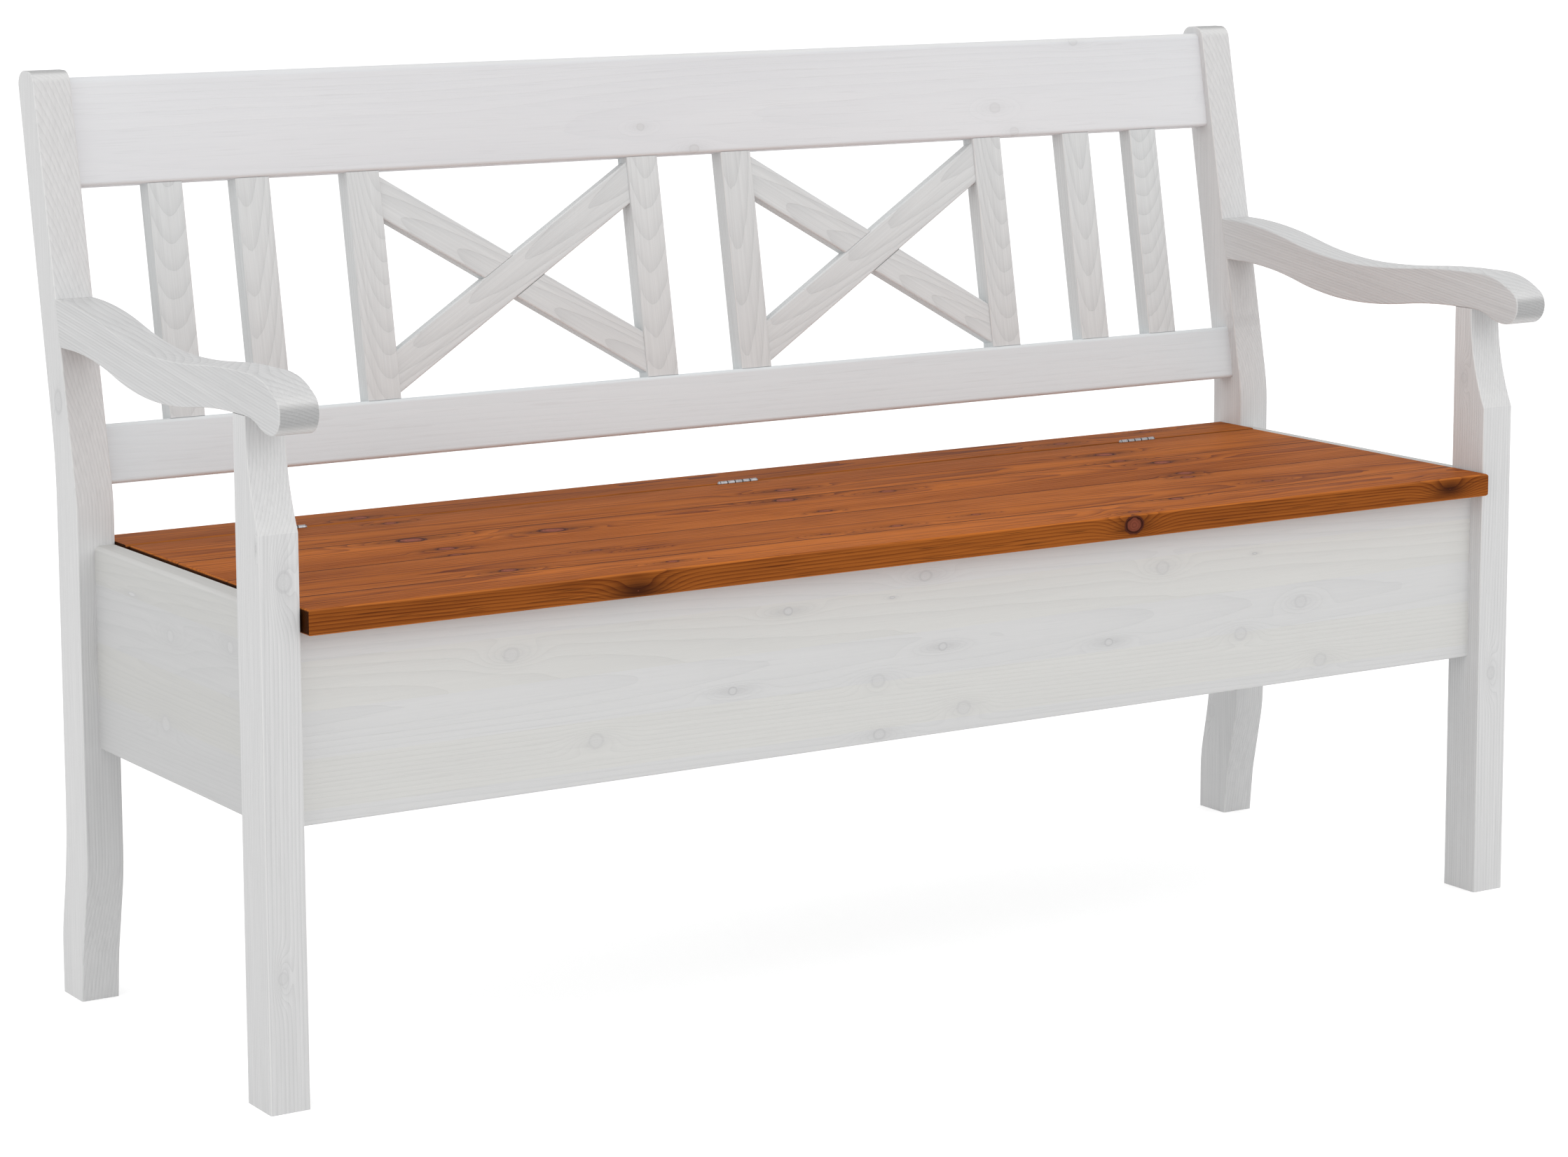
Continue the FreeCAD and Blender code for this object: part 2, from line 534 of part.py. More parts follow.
def make_armrest(side, hand):
    """An armrest: an S from the rear post down, level on the front post, and a rounded nose."""
    chin = ("(arm_chin_radius - arm_reach)", ARM_CHIN_UNDER)
    nose_height = "(" + ARM_CHIN_UNDER + " + arm_chin_radius)"
    nose_centre = "(arm_nose_radius - arm_reach)"
    reach = "(arm_brow_radius - arm_nose_radius)"
    fall = "(arm_brow_radius - (" + ARM_CREST_TOP + " - " + nose_height + "))"
    shift = "sqrt(" + reach + " ^ 2 - " + fall + " ^ 2)"
    brow = ("(" + nose_centre + " - arm_nose_radius * " + shift + " / " + reach + ")",
            "(" + nose_height + " + arm_nose_radius * " + fall + " / " + reach + ")")
    outline = (Outline((post_front(ARM_REAR_UNDER), ARM_REAR_UNDER))
               .line(("arm_rear_land", ARM_REAR_UNDER))
               .bend(("arm_dip_under_setback", ARM_DIP_UNDER), 1)
               .bend(("arm_land_back", "front_post_height"), -1)
               .line(("arm_land_front", "front_post_height"))
               .bend(chin, 1)
               .arc(("(-arm_reach)", nose_height), "arm_chin_radius", -1)
               .arc(brow, "arm_nose_radius", -1)
               .arc(("(" + nose_centre + " + " + shift + ")", ARM_CREST_TOP), "arm_brow_radius", -1)
               .line(("arm_crest_setback", ARM_CREST_TOP))
               .bend(("arm_dip_setback", ARM_DIP_TOP), -1)
               .bend((post_front(ARM_REAR_TOP), ARM_REAR_TOP), 1))
    arm = Piece("armrest_" + side)
    arm.pad("blank", "YZ_Plane", [outline], "post_width", towards=hand)
    faces = in_planes(("X", 0), ("X", hand * value("post_width")))
    rear = value(post_front(ARM_REAR_UNDER)) - TOLERANCE
    arm.round("edges", "post_round", lambda edge: faces(edge) and edge.BoundBox.YMin < rear)
    arm.drill("front_hole", "XY_Plane", [(handed(hand, "post_width / 2"), ARM_DOWEL_SETBACK)],
              HOLE_RADIUS, HOLE_DEPTH, at="front_post_height", towards=1)
    arm.drill("rear_holes", "XZ_Plane",
              [(handed(hand, "post_width / 2"), height) for height in arm_dowel_heights()],
              HOLE_RADIUS, ARM_HOLE_LENGTH, at=ARM_HOLE_START, towards=1)
    arm.place(x=handed(hand, INNER))


def panel_dowel_heights():
    """Heights of the dowels in the ends of the front and rear panels."""
    return ["(panel_bottom + panel_dowel_inset + %d * panel_dowel_pitch)" % step for step in range(3)]


def side_dowel_heights():
    """Heights of the dowels in the ends of the side panels."""
    return ["(" + height + " + side_dowel_shift)" for height in panel_dowel_heights()]


def arm_dowel_heights():
    """Heights of the dowels between an armrest and its rear post."""
    return ["(" + ARM_REAR_UNDER + " + arm_dowel_inset)", "(" + ARM_REAR_TOP + " - arm_dowel_inset)"]


def lower_dowel_rises():
    """Rises of the dowels in the ends of the lower rail."""
    return ["(lower_rail_rise + rail_dowel_inset)", "(" + LOWER_RAIL_TOP + " - rail_dowel_inset)"]


def top_dowel_rises():
    """Rises of the dowels in the ends of the top rail."""
    return ["(top_rail_rise + crown_dowel_inset)", "(top_rail_rise + top_rail_width - crown_dowel_inset)"]


def rail_dowel_rises():
    """Rises of all the dowels between the rails and a rear post."""
    return lower_dowel_rises() + top_dowel_rises()


def put_on_back(piece, x="0", rise="0"):
    """Place a piece that is drawn in the back's own plane."""
    across, up = on_back(rise, "0")
    piece.place(x=x, y=across, z=up, axis=(1, 0, 0), angle="(90 - recline)")


def make_rail(label, rise, width, top_round, mortise_rise, mortise_way, dowel_rises):
    """A rail of the back, with mortises for the slats in one edge and dowel holes in its ends."""
    rail = Piece(label)
    top = "(" + rise + " + " + width + ")"
    rail.pad("blank", "XY_Plane", [rectangle(minus(INNER), rise, INNER, top)], "rail_thickness", towards=-1)
    upper = along("X", ("Y", value(top)))
    lower = along("X", ("Y", value(rise)))
    rail.round("upper_edges", top_round, upper)
    rail.round("lower_edges", "rail_round", lower)
    half_width = "(tenon_width / 2 + tenon_play)"
    half_thickness = "(tenon_thickness / 2 + tenon_play)"
    back = "(-" + SLAT_MIDDLE + " - " + half_thickness + ")"
    front = "(-" + SLAT_MIDDLE + " + " + half_thickness + ")"
    mortises = []
    for place_x in SLAT_PLACES:
        left_x, right_x = "(" + place_x + " - " + half_width + ")", "(" + place_x + " + " + half_width + ")"
        mortises.append(rectangle(left_x, back, right_x, front))
    rail.cut("mortises", "XZ_Plane", mortises, "(tenon_length + tenon_play)", at=mortise_rise,
             towards=mortise_way)
    centres = [(dowel_rise, "(-rail_thickness / 2)") for dowel_rise in dowel_rises]
    rail.drill("left_holes", "YZ_Plane", centres, HOLE_RADIUS, HOLE_DEPTH, at=minus(INNER), towards=1)
    rail.drill("right_holes", "YZ_Plane", centres, HOLE_RADIUS, HOLE_DEPTH, at=INNER, towards=-1)
    put_on_back(rail)


def brace_dowel_rise(upper):
    """Rise of the middle of a brace's upper or lower end."""
    return "(" + CROSS_MIDDLE + (" + " if upper else " - ") + BRACE_END_OFFSET + ")"


def make_slat(number, place_x, brace_side):
    """An upright slat with a tenon at each end, and dowel holes where braces meet it."""
    slat = Piece("slat_%d" % number)
    half = "(slat_width / 2)"
    slat.pad("blank", "XY_Plane", [rectangle(minus(half), LOWER_RAIL_TOP, half, "top_rail_rise")],
             "slat_thickness", at="(-slat_recess)", towards=-1)
    length = in_planes(("X", value(half)), ("X", -value(half)))
    faces = in_planes(("Z", -value("slat_recess")), ("Z", -value("(slat_recess + slat_thickness)")))
    slat.round("edges", "slat_round", lambda edge: length(edge) and faces(edge))
    tenon = rectangle("(-tenon_width / 2)", "(" + LOWER_RAIL_TOP + " - tenon_length)",
                      "(tenon_width / 2)", "(top_rail_rise + tenon_length)")
    slat.pad("tenons", "XY_Plane", [tenon], "tenon_thickness",
             at="(-" + SLAT_MIDDLE + " + tenon_thickness / 2)", towards=-1)
    if brace_side:
        centres = [(brace_dowel_rise(upper), "(-" + SLAT_MIDDLE + ")") for upper in (False, True)]
        slat.drill("brace_holes", "YZ_Plane", centres, BRACE_HOLE_RADIUS, BRACE_HOLE_DEPTH,
                   at=handed(brace_side, half), towards=-brace_side)
    put_on_back(slat, x=place_x)


def make_brace(side, hand, name, slope):
    """A brace of a cross, with half of the lap cut away where it meets the other."""
    brace = Piece("cross_brace_" + side + "_" + name)
    half_span = "(" + CROSS_SPAN + " / 2)"
    low = minus(CROSS_HEIGHT + " / 2")
    high = "(" + CROSS_HEIGHT + " / 2)"
    left_x, right_x = handed(-slope, half_span), handed(slope, half_span)
    corners = [(left_x, low), (right_x, "(" + high + " - " + BRACE_END + ")"), (right_x, high),
               (left_x, "(" + low + " + " + BRACE_END + ")")]
    outline = Outline(corners[0]).line(*corners[1:])
    brace.pad("blank", "XY_Plane", [outline], "brace_thickness",
              at="(-" + SLAT_MIDDLE + " + brace_thickness / 2)", towards=-1)
    ends = in_planes(("X", value(half_span)), ("X", -value(half_span)))
    middle = value(SLAT_MIDDLE)
    thickness = value("brace_thickness")
    faces = in_planes(("Z", -middle + thickness / 2), ("Z", -middle - thickness / 2))
    brace.round("edges", "brace_round", lambda edge: faces(edge) and not ends(edge))
    # The lap is the other brace's band, with its own play, long enough to cross this brace.
    half_band = "(brace_width / 2 + lap_play)"
    cosine = "(1 / " + BRACE_SECANT + ")"
    sine = "(" + BRACE_TAN + " / " + BRACE_SECANT + ")"
    reach = "(brace_width * 1.5)"
    lap = []
    for end, edge in ((-1, -1), (1, -1), (1, 1), (-1, 1)):
        lap_x = "(%d * %s * %s - %d * %s * %s)" % (end, reach, cosine, edge, half_band, sine)
        lap_y = "(%d * %s * %s + %d * %s * %s)" % (end, reach, sine, edge, half_band, cosine)
        lap.append((handed(-slope, lap_x), lap_y))
    way = 1 if name == "falling" else -1
    brace.cut("lap", "XY_Plane", [Outline(lap[0]).line(*lap[1:])], "brace_thickness",
              at="(-" + SLAT_MIDDLE + " + " + handed(-way, "lap_play / 2") + ")", towards=way)
    for end in (-1, 1):
        centre = (handed(end * slope, BRACE_END_OFFSET), "(-" + SLAT_MIDDLE + ")")
        brace.drill("end_hole_%d" % (end + 1), "YZ_Plane", [centre], BRACE_HOLE_RADIUS, BRACE_HOLE_DEPTH,
                    at=handed(end, half_span), towards=-end)
    put_on_back(brace, x=handed(hand, CROSS_CENTRE), rise=CROSS_MIDDLE)


def make_end_panel(label, front, screw_setback, screw_way, strip_holes):
    """The front or rear panel of the chest, between the posts."""
    panel = Piece(label)
    panel.pad("blank", "XZ_Plane", [rectangle(minus(INNER), "panel_bottom", INNER, SEAT_UNDER)],
              "panel_thickness", at=front, towards=1)
    panel.round("edges", "panel_round", along("X"))
    middle = "(" + front + " + panel_thickness / 2)"
    centres = [(middle, height) for height in panel_dowel_heights()]
    panel.drill("left_holes", "YZ_Plane", centres, HOLE_RADIUS, HOLE_DEPTH, at=minus(INNER), towards=1)
    panel.drill("right_holes", "YZ_Plane", centres, HOLE_RADIUS, HOLE_DEPTH, at=INNER, towards=-1)
    panel.drill("cleat_pilots", "XZ_Plane", [(x, CLEAT_MIDDLE) for x in long_cleat_screws()],
                CLEAT_PILOT_RADIUS, CLEAT_PILOT_DEPTH, at=screw_setback, towards=screw_way)
    if strip_holes:
        panel.drill("strip_holes", "XY_Plane", [(x, REAR_PANEL_MIDDLE) for x in strip_dowel_places()],
                    HOLE_RADIUS, "(strip_dowel_length - strip_dowel_rise + dowel_end_play)",
                    at=SEAT_UNDER, towards=-1)
    panel.place()


def make_side_panel(side, hand):
    """A side panel of the chest, between the front and rear posts and flush with their inner faces."""
    panel = Piece("side_panel_" + side)
    blank = rectangle("front_post_depth", "panel_bottom", "rear_post_setback", SIDE_PANEL_TOP)
    panel.pad("blank", "YZ_Plane", [blank], "panel_thickness", towards=hand)
    outer = hand * value("panel_thickness")
    top = value(SIDE_PANEL_TOP)
    panel.round("outer_top_edge", "side_panel_round", along("Y", ("X", outer), ("Z", top)))
    inner_edges = along("Y", ("X", 0))
    lower_edges = along("Y", ("Z", value("panel_bottom")))
    panel.round("other_edges", "panel_round", lambda edge: inner_edges(edge) or lower_edges(edge))
    centres = [(handed(hand, "panel_thickness / 2"), height) for height in side_dowel_heights()]
    panel.drill("front_holes", "XZ_Plane", centres, HOLE_RADIUS, HOLE_DEPTH, at="front_post_depth", towards=1)
    panel.drill("rear_holes", "XZ_Plane", centres, HOLE_RADIUS, HOLE_DEPTH, at="rear_post_setback",
                towards=-1)
    panel.drill("cleat_pilots", "YZ_Plane", [(y, CLEAT_MIDDLE) for y in short_cleat_screws()],
                CLEAT_PILOT_RADIUS, CLEAT_PILOT_DEPTH, towards=hand)
    panel.place(x=handed(hand, INNER))


def long_cleat_screws():
    """Places along the bench of the screws in the front and rear cleats."""
    outer = "(" + INNER + " - cleat_screw_inset)"
    return [minus(outer), minus(outer + " / 3"), "(" + outer + " / 3)", outer]


def short_cleat_screws():
    """Depths of the screws in the side cleats."""
    return ["(" + SHORT_CLEAT_FRONT + " + side_screw_inset)", "(" + SHORT_CLEAT_BACK + " - side_screw_inset)"]


def strip_dowel_places():
    """Places along the bench of the dowels under the rear strip."""
    outer = "(" + INNER + " - strip_dowel_inset)"
    return [minus(outer), minus(outer + " / 3"), "(" + outer + " / 3)", outer]


def make_long_cleat(label, front, face, way):
    """A strip on the front or rear panel that carries the bottom, countersunk for its screws."""
    cleat = Piece(label)
    half = "(" + INNER + " - cleat_play)"
    cleat.pad("blank", "XZ_Plane", [rectangle(minus(half), CLEAT_BOTTOM, half, CLEAT_TOP)],
              "cleat_size", at=front, towards=1)
    cleat.drill("screw_holes", "XZ_Plane", [(x, CLEAT_MIDDLE) for x in long_cleat_screws()],
                CLEAT_PILOT_RADIUS, "cleat_size", at=face, towards=way)
    countersink(cleat, face, CLEAT_PILOT_RADIUS, "(cleat_head_radius - cleat_screw_radius)")
    cleat.place()


def make_short_cleat(side, hand):
    """A strip on a side panel that carries the bottom, countersunk for its screws."""
    cleat = Piece("bottom_cleat_" + side)
    cleat.pad("blank", "YZ_Plane", [rectangle(SHORT_CLEAT_FRONT, CLEAT_BOTTOM, SHORT_CLEAT_BACK, CLEAT_TOP)],
              "cleat_size", towards=-hand)
    cleat.drill("screw_holes", "YZ_Plane", [(y, CLEAT_MIDDLE) for y in short_cleat_screws()],
                CLEAT_PILOT_RADIUS, "cleat_size", towards=-hand)
    countersink(cleat, handed(-hand, "cleat_size"), CLEAT_PILOT_RADIUS,
                "(cleat_head_radius - cleat_screw_radius)", axis="X")
    cleat.place(x=handed(hand, INNER))


def countersink(piece, face, radius, size, axis="Y"):
    """Chamfer the round edges of a radius that lie in a face across an axis."""
    base = piece.body.Tip
    position, wanted = value(face), value(radius)
    names = []
    for index, edge in enumerate(base.Shape.Edges):
        curve = edge.Curve
        if not isinstance(curve, Part.Circle) or abs(curve.Radius - wanted) > TOLERANCE:
            continue
        if edge_lies(edge, axis, position):
            names.append("Edge%d" % (index + 1))
    chamfer = piece.body.newObject("PartDesign::Chamfer", "countersinks")
    chamfer.Base = (base, names)
    chamfer.Size = value(size)
    chamfer.setExpression("Size", cells(size))
    document.recompute()


def make_bottom_board():
    """The chest's bottom, which lies on the cleats."""
    board = Piece("bottom_board")
    half = "(" + INNER + " - bottom_play)"
    front, back = "(" + FRONT_PANEL_BACK + " + bottom_play)", "(" + REAR_PANEL_FRONT + " - bottom_play)"
    board.pad("blank", "XY_Plane", [rectangle(minus(half), front, half, back)], "bottom_thickness",
              at=CLEAT_TOP, towards=1)
    board.place()


def hinge_screw_places():
    """Places along the bench of every hinge screw."""
    return ["(" + hinge + " + %d * hinge_screw_pitch)" % step
            for hinge in HINGES.values() for step in (-1, 0, 1)]


def make_seat_strip():
    """The fixed strip at the back of the seat, which carries the hinges."""
    strip = Piece("seat_strip")
    half = "(" + INNER + " - strip_end_gap)"
    strip.pad("blank", "YZ_Plane", [rectangle(STRIP_FRONT, SEAT_UNDER, STRIP_BACK, "seat_top")],
              "(2 * " + half + ")", at=minus(half), towards=1)
    strip.round("top_edges", "seat_round", along("X", ("Z", value("seat_top"))))
    strip.drill("dowel_holes", "XY_Plane", [(x, REAR_PANEL_MIDDLE) for x in strip_dowel_places()],
                HOLE_RADIUS, "(strip_dowel_rise + dowel_end_play)", at=SEAT_UNDER, towards=1)
    strip.drill("hinge_pilots", "XZ_Plane", [(x, HINGE_SCREW_HEIGHT) for x in hinge_screw_places()],
                HINGE_PILOT_RADIUS, HINGE_PILOT_DEPTH, at=STRIP_FRONT, towards=1)
    strip.place()


def make_lid_board(label, front, back, rounds, hinged=False):
    """One of the boards that are glued edge to edge to make the lid."""
    board = Piece(label)
    board.pad("blank", "YZ_Plane", [rectangle(front, SEAT_UNDER, back, "seat_top")],
              "(2 * " + LID_END + ")", at=minus(LID_END), towards=1)
    end = value(LID_END)
    faces = ("Z", value("seat_top")), ("Z", value(SEAT_UNDER))
    tests = [along("Y", ("X", side * end), face) for side in (-1, 1) for face in faces]
    tests += [along("X", ("Y", value(place_y)), face) for place_y in rounds for face in faces]
    board.round("edges", "seat_round", lambda edge: any(test(edge) for test in tests))
    if hinged:
        board.drill("hinge_pilots", "XZ_Plane", [(x, HINGE_SCREW_HEIGHT) for x in hinge_screw_places()],
                    HINGE_PILOT_RADIUS, HINGE_PILOT_DEPTH, at=LID_BACK, towards=-1)
    board.place()


def make_lid():
    """The lid's four boards."""
    lines = ["(-lid_overhang)"]
    lines.append("(" + lines[0] + " + lid_front_board)")
    lines.append("(" + lines[1] + " + lid_middle_board)")
    lines.append("(" + lines[2] + " + lid_middle_board)")
    lines.append(LID_BACK)
    make_lid_board("lid_board_front", lines[0], lines[1], [lines[0]])
    make_lid_board("lid_board_mid_front", lines[1], lines[2], [])
    make_lid_board("lid_board_mid_rear", lines[2], lines[3], [])
    make_lid_board("lid_board_rear", lines[3], lines[4], [lines[4]], hinged=True)


def make_leaf(label, place_x, way, turns):
    """A hinge leaf: a plate on the board's edge, and the knuckles that it holds.

    way is +1 for the leaf on the strip and -1 for the leaf on the lid. turns are the leaf's own
    knuckles, counted from the left.
    """
    leaf = Piece(label)
    half = "(hinge_length / 2)"
    knuckle = "(hinge_length / 4)"
    outer = "(hinge_gap / 2)"
    inner = "(hinge_gap / 2 - leaf_thickness)"
    first = inner if way > 0 else minus(outer)
    spans = []
    for turn in turns:
        start = "(-" + half + " + %d * %s + knuckle_play / 2)" % (turn, knuckle)
        spans.append((start, "(" + start + " + " + knuckle + " - knuckle_play)"))
    corners = [(minus(half), "(-leaf_drop)"), (half, "(-leaf_drop)"), (half, "(-leaf_top_drop)")]
    for start, end in reversed(spans):
        corners += [(end, "(-leaf_top_drop)"), (end, "(-leaf_tab_drop)"), (start, "(-leaf_tab_drop)"),
                    (start, "(-leaf_top_drop)")]
    corners.append((minus(half), "(-leaf_top_drop)"))
    leaf.pad("plate", "XZ_Plane", [Outline(corners[0]).line(*corners[1:])], "leaf_thickness",
             at=first, towards=1)
    for turn, (start, end) in zip(turns, spans):
        leaf.pad_round("knuckle_%d" % turn, "YZ_Plane", [("0", "0", "knuckle_radius")],
                       "(" + knuckle + " - knuckle_play)", at=start, towards=1)
    leaf.drill("pin_bore", "YZ_Plane", [("0", "0")], "(pin_radius + pin_play)", "hinge_length",
               at=minus(half), towards=1)
    leaf.drill("screw_holes", "XZ_Plane",
               [("(%d * hinge_screw_pitch)" % step, "(-hinge_screw_drop)") for step in (-1, 0, 1)],
               HINGE_PILOT_RADIUS, "leaf_thickness", at=first, towards=1)
    countersink(leaf, handed(way, inner), HINGE_PILOT_RADIUS, "(hinge_head_radius - hinge_screw_radius)")
    leaf.place(x=place_x, y="hinge_axis_setback", z="seat_top")


def make_pin(label, place_x):
    """A hinge pin with a domed head at its left end."""
    pin = Piece(label)
    half = "(hinge_length / 2)"
    head_start = "(-" + half + " - pin_head_length)"
    stub_end = "(" + half + " + pin_end_length)"
    dome = "((knuckle_radius ^ 2 + pin_head_length ^ 2) / (2 * min(knuckle_radius; pin_head_length)))"
    outline = (Outline((head_start, "0")).arc((minus(half), "knuckle_radius"), dome, -1)
               .line((minus(half), "pin_radius"), (stub_end, "pin_radius"), (stub_end, "0")))
    sketch = pin.sketch("profile", "XY_Plane", "0")
    draw_outline(sketch, outline)
    turned = pin.body.newObject("PartDesign::Revolution", "turned")
    turned.Profile = sketch
    turned.ReferenceAxis = (sketch, ["H_Axis"])
    turned.Angle = 360
    document.recompute()
    pin.place(x=place_x, y="hinge_axis_setback", z="seat_top")


def make_dowels(label, dowels, radius):
    """A group of dowels. Each is its start point, its direction and its length."""
    turns = {"X": ((0, 1, 0), "90"), "Y": ((1, 0, 0), "-90"), "Z": ((0, 0, 1), "0")}
    members = []
    for index, ((x, y, z), axis, length) in enumerate(dowels, start=1):
        dowel = document.addObject("Part::Cylinder", "%s_%d" % (label, index))
        dowel.setExpression("Radius", cells(radius))
        dowel.setExpression("Height", cells(length))
        place(dowel, x, y, z, axis=turns[axis][0], angle=turns[axis][1])
        members.append(dowel)
    group = document.addObject("Part::Compound", label)
    group.Links = members
    group.Label = label
    return group


def screw_shape(length, radius, head_radius):
    """A countersunk screw along +Z, with its head's flat face at the origin, from its sizes' names."""
    length, radius, head_radius = value(length), value(radius), value(head_radius)
    head_depth = head_radius - radius
    head = Part.makeCone(head_radius, radius, head_depth)
    shank = Part.makeCylinder(radius, length - head_depth, Vector(0, 0, head_depth))
    return head.fuse(shank).removeSplitter()


def make_screws(screw, heads, direction):
    """Screws with their heads' centres at the points, all along one direction."""
    turn = Rotation(Vector(0, 0, 1), Vector(*direction))
    setback = Vector(0, -value(ORIGIN_SETBACK), 0)
    solids = []
    for head in heads:
        copy = screw.copy()
        copy.Placement = Placement(Vector(*(value(part) for part in head)) + setback, turn)
        solids.append(copy)
    return solids


def make_dowel_groups():
    """Every group of dowels, from the places of the holes that they fill."""
    half = "(dowel_length / 2)"
    rails, panels, arms, braces = [], [], [], []
    for hand in HANDS.values():
        start_x = "(" + handed(hand, INNER) + " - " + half + ")"
        for rise in rail_dowel_rises():
            across, up = on_back(rise, "rail_thickness / 2")
            rails.append(((start_x, across, up), "X", "dowel_length"))
        for middle in (FRONT_PANEL_MIDDLE, REAR_PANEL_MIDDLE):
            for height in panel_dowel_heights():
                panels.append(((start_x, middle, height), "X", "dowel_length"))
        side_x = handed(hand, "(" + INNER + " + panel_thickness / 2)")
        for face in ("front_post_depth", "rear_post_setback"):
            for height in side_dowel_heights():
                panels.append(((side_x, "(" + face + " - " + half + ")", height), "Y", "dowel_length"))
        arm_x = handed(hand, "(" + INNER + " + post_width / 2)")
        arms.append(((arm_x, ARM_DOWEL_SETBACK, "(front_post_height - " + half + ")"), "Z", "dowel_length"))
        for height in arm_dowel_heights():
            arms.append(((arm_x, "(" + ARM_DOWEL_MIDDLE + " - " + half + ")", height), "Y", "dowel_length"))
        for end in (-1, 1):
            end_x = ("(" + handed(hand, CROSS_CENTRE) + " + " + handed(end, CROSS_SPAN + " / 2")
                     + " - brace_dowel_length / 2)")
            for upper in (False, True):
                across, up = on_back(brace_dowel_rise(upper), SLAT_MIDDLE)
                braces.append(((end_x, across, up), "X", "brace_dowel_length"))
    strip_start = "(" + SEAT_UNDER + " + strip_dowel_rise - strip_dowel_length)"
    strip = [((x, REAR_PANEL_MIDDLE, strip_start), "Z", "strip_dowel_length") for x in strip_dowel_places()]
    return [make_dowels("rail_dowels", rails, "dowel_radius"),
            make_dowels("panel_dowels", panels, "dowel_radius"),
            make_dowels("armrest_dowels", arms, "dowel_radius"),
            make_dowels("brace_dowels", braces, "brace_dowel_radius"),
            make_dowels("seat_strip_dowels", strip, "dowel_radius")]


def make_screw_groups():
    """The hinge screws of the strip and of the lid, and the screws of the cleats."""
    hinge_screw = screw_shape("hinge_screw_length", "hinge_screw_radius", "hinge_head_radius")
    cleat_screw = screw_shape("cleat_screw_length", "cleat_screw_radius", "cleat_head_radius")
    strip_face = "(" + STRIP_FRONT + " - leaf_thickness)"
    lid_face = "(" + LID_BACK + " + leaf_thickness)"
    strip_heads = [(x, strip_face, HINGE_SCREW_HEIGHT) for x in hinge_screw_places()]
    lid_heads = [(x, lid_face, HINGE_SCREW_HEIGHT) for x in hinge_screw_places()]
    front_face = "(" + FRONT_PANEL_BACK + " + cleat_size)"
    rear_face = "(" + REAR_PANEL_FRONT + " - cleat_size)"
    front_heads = [(x, front_face, CLEAT_MIDDLE) for x in long_cleat_screws()]
    rear_heads = [(x, rear_face, CLEAT_MIDDLE) for x in long_cleat_screws()]
    cleats = make_screws(cleat_screw, front_heads, (0, -1, 0))
    cleats += make_screws(cleat_screw, rear_heads, (0, 1, 0))
    for hand in HANDS.values():
        face_x = handed(hand, "(" + INNER + " - cleat_size)")
        side_heads = [(face_x, y, CLEAT_MIDDLE) for y in short_cleat_screws()]
        cleats += make_screws(cleat_screw, side_heads, (hand, 0, 0))
    groups = {
        "hinge_screws_strip": make_screws(hinge_screw, strip_heads, (0, 1, 0)),
        "hinge_screws_lid": make_screws(hinge_screw, lid_heads, (0, -1, 0)),
        "cleat_screws": cleats,
    }
    made = []
    for label, solids in groups.items():
        group = document.addObject("Part::Feature", label)
        group.Label = label
        group.Shape = Part.makeCompound(solids)
        made.append(group)
    return made


def make_bench():
    """Make every piece and return the groups of fasteners."""
    for side, hand in HANDS.items():
        make_front_post(side, hand)
        make_rear_post(side, hand)
        make_armrest(side, hand)
        make_side_panel(side, hand)
        make_short_cleat(side, hand)
        make_brace(side, hand, "rising", 1)
        make_brace(side, hand, "falling", -1)
    make_rail("top_rail", "top_rail_rise", "top_rail_width", "crown_round",
              "top_rail_rise", 1, top_dowel_rises())
    make_rail("lower_rail", "lower_rail_rise", "lower_rail_width", "rail_round",
              LOWER_RAIL_TOP, -1, lower_dowel_rises())
    brace_sides = (0, 0, 1, -1, 1, -1, 0, 0)
    for number, (place_x, brace_side) in enumerate(zip(SLAT_PLACES, brace_sides), start=1):
        make_slat(number, place_x, brace_side)
    make_end_panel("front_panel", "front_panel_setback", FRONT_PANEL_BACK, -1, False)
    make_end_panel("rear_panel", REAR_PANEL_FRONT, REAR_PANEL_FRONT, 1, True)
    make_long_cleat("bottom_cleat_front", FRONT_PANEL_BACK, "(" + FRONT_PANEL_BACK + " + cleat_size)", -1)
    rear_cleat_face = "(" + REAR_PANEL_FRONT + " - cleat_size)"
    make_long_cleat("bottom_cleat_rear", rear_cleat_face, rear_cleat_face, 1)
    make_bottom_board()
    make_seat_strip()
    make_lid()
    for name, place_x in HINGES.items():
        make_leaf("hinge_leaf_strip_" + name, place_x, 1, (0, 2))
        make_leaf("hinge_leaf_lid_" + name, place_x, -1, (1, 3))
        make_pin("hinge_pin_" + name, place_x)
    return make_dowel_groups() + make_screw_groups()


def check_document(sub_parts):
    """Stop with a message if any object failed or any piece isn't whole."""
    for item in document.Objects:
        if "Invalid" in item.State or "Error" in item.State:
            raise RuntimeError("%s is %s" % (item.Label, item.State))
        if item.TypeId != "PartDesign::Pocket":
            continue
        if item.Shape.Volume > item.BaseFeature.Shape.Volume - TOLERANCE:
            raise RuntimeError("%s of %s cuts nothing" % (item.Label, item.getParentGeoFeatureGroup().Label))
    for part in sub_parts:
        if part.Shape.isNull() or not part.Shape.isValid():
            raise RuntimeError("%s has no valid shape" % part.Label)
        if part.TypeId == "PartDesign::Body" and len(part.Shape.Solids) != 1:
            raise RuntimeError("%s isn't one solid" % part.Label)


def write_parts(sub_parts):
    """Write each sub-part to its own file."""
    os.makedirs("parts", exist_ok=True)
    for part in sub_parts:
        part.Shape.exportStep("parts/" + part.Label + ".step")


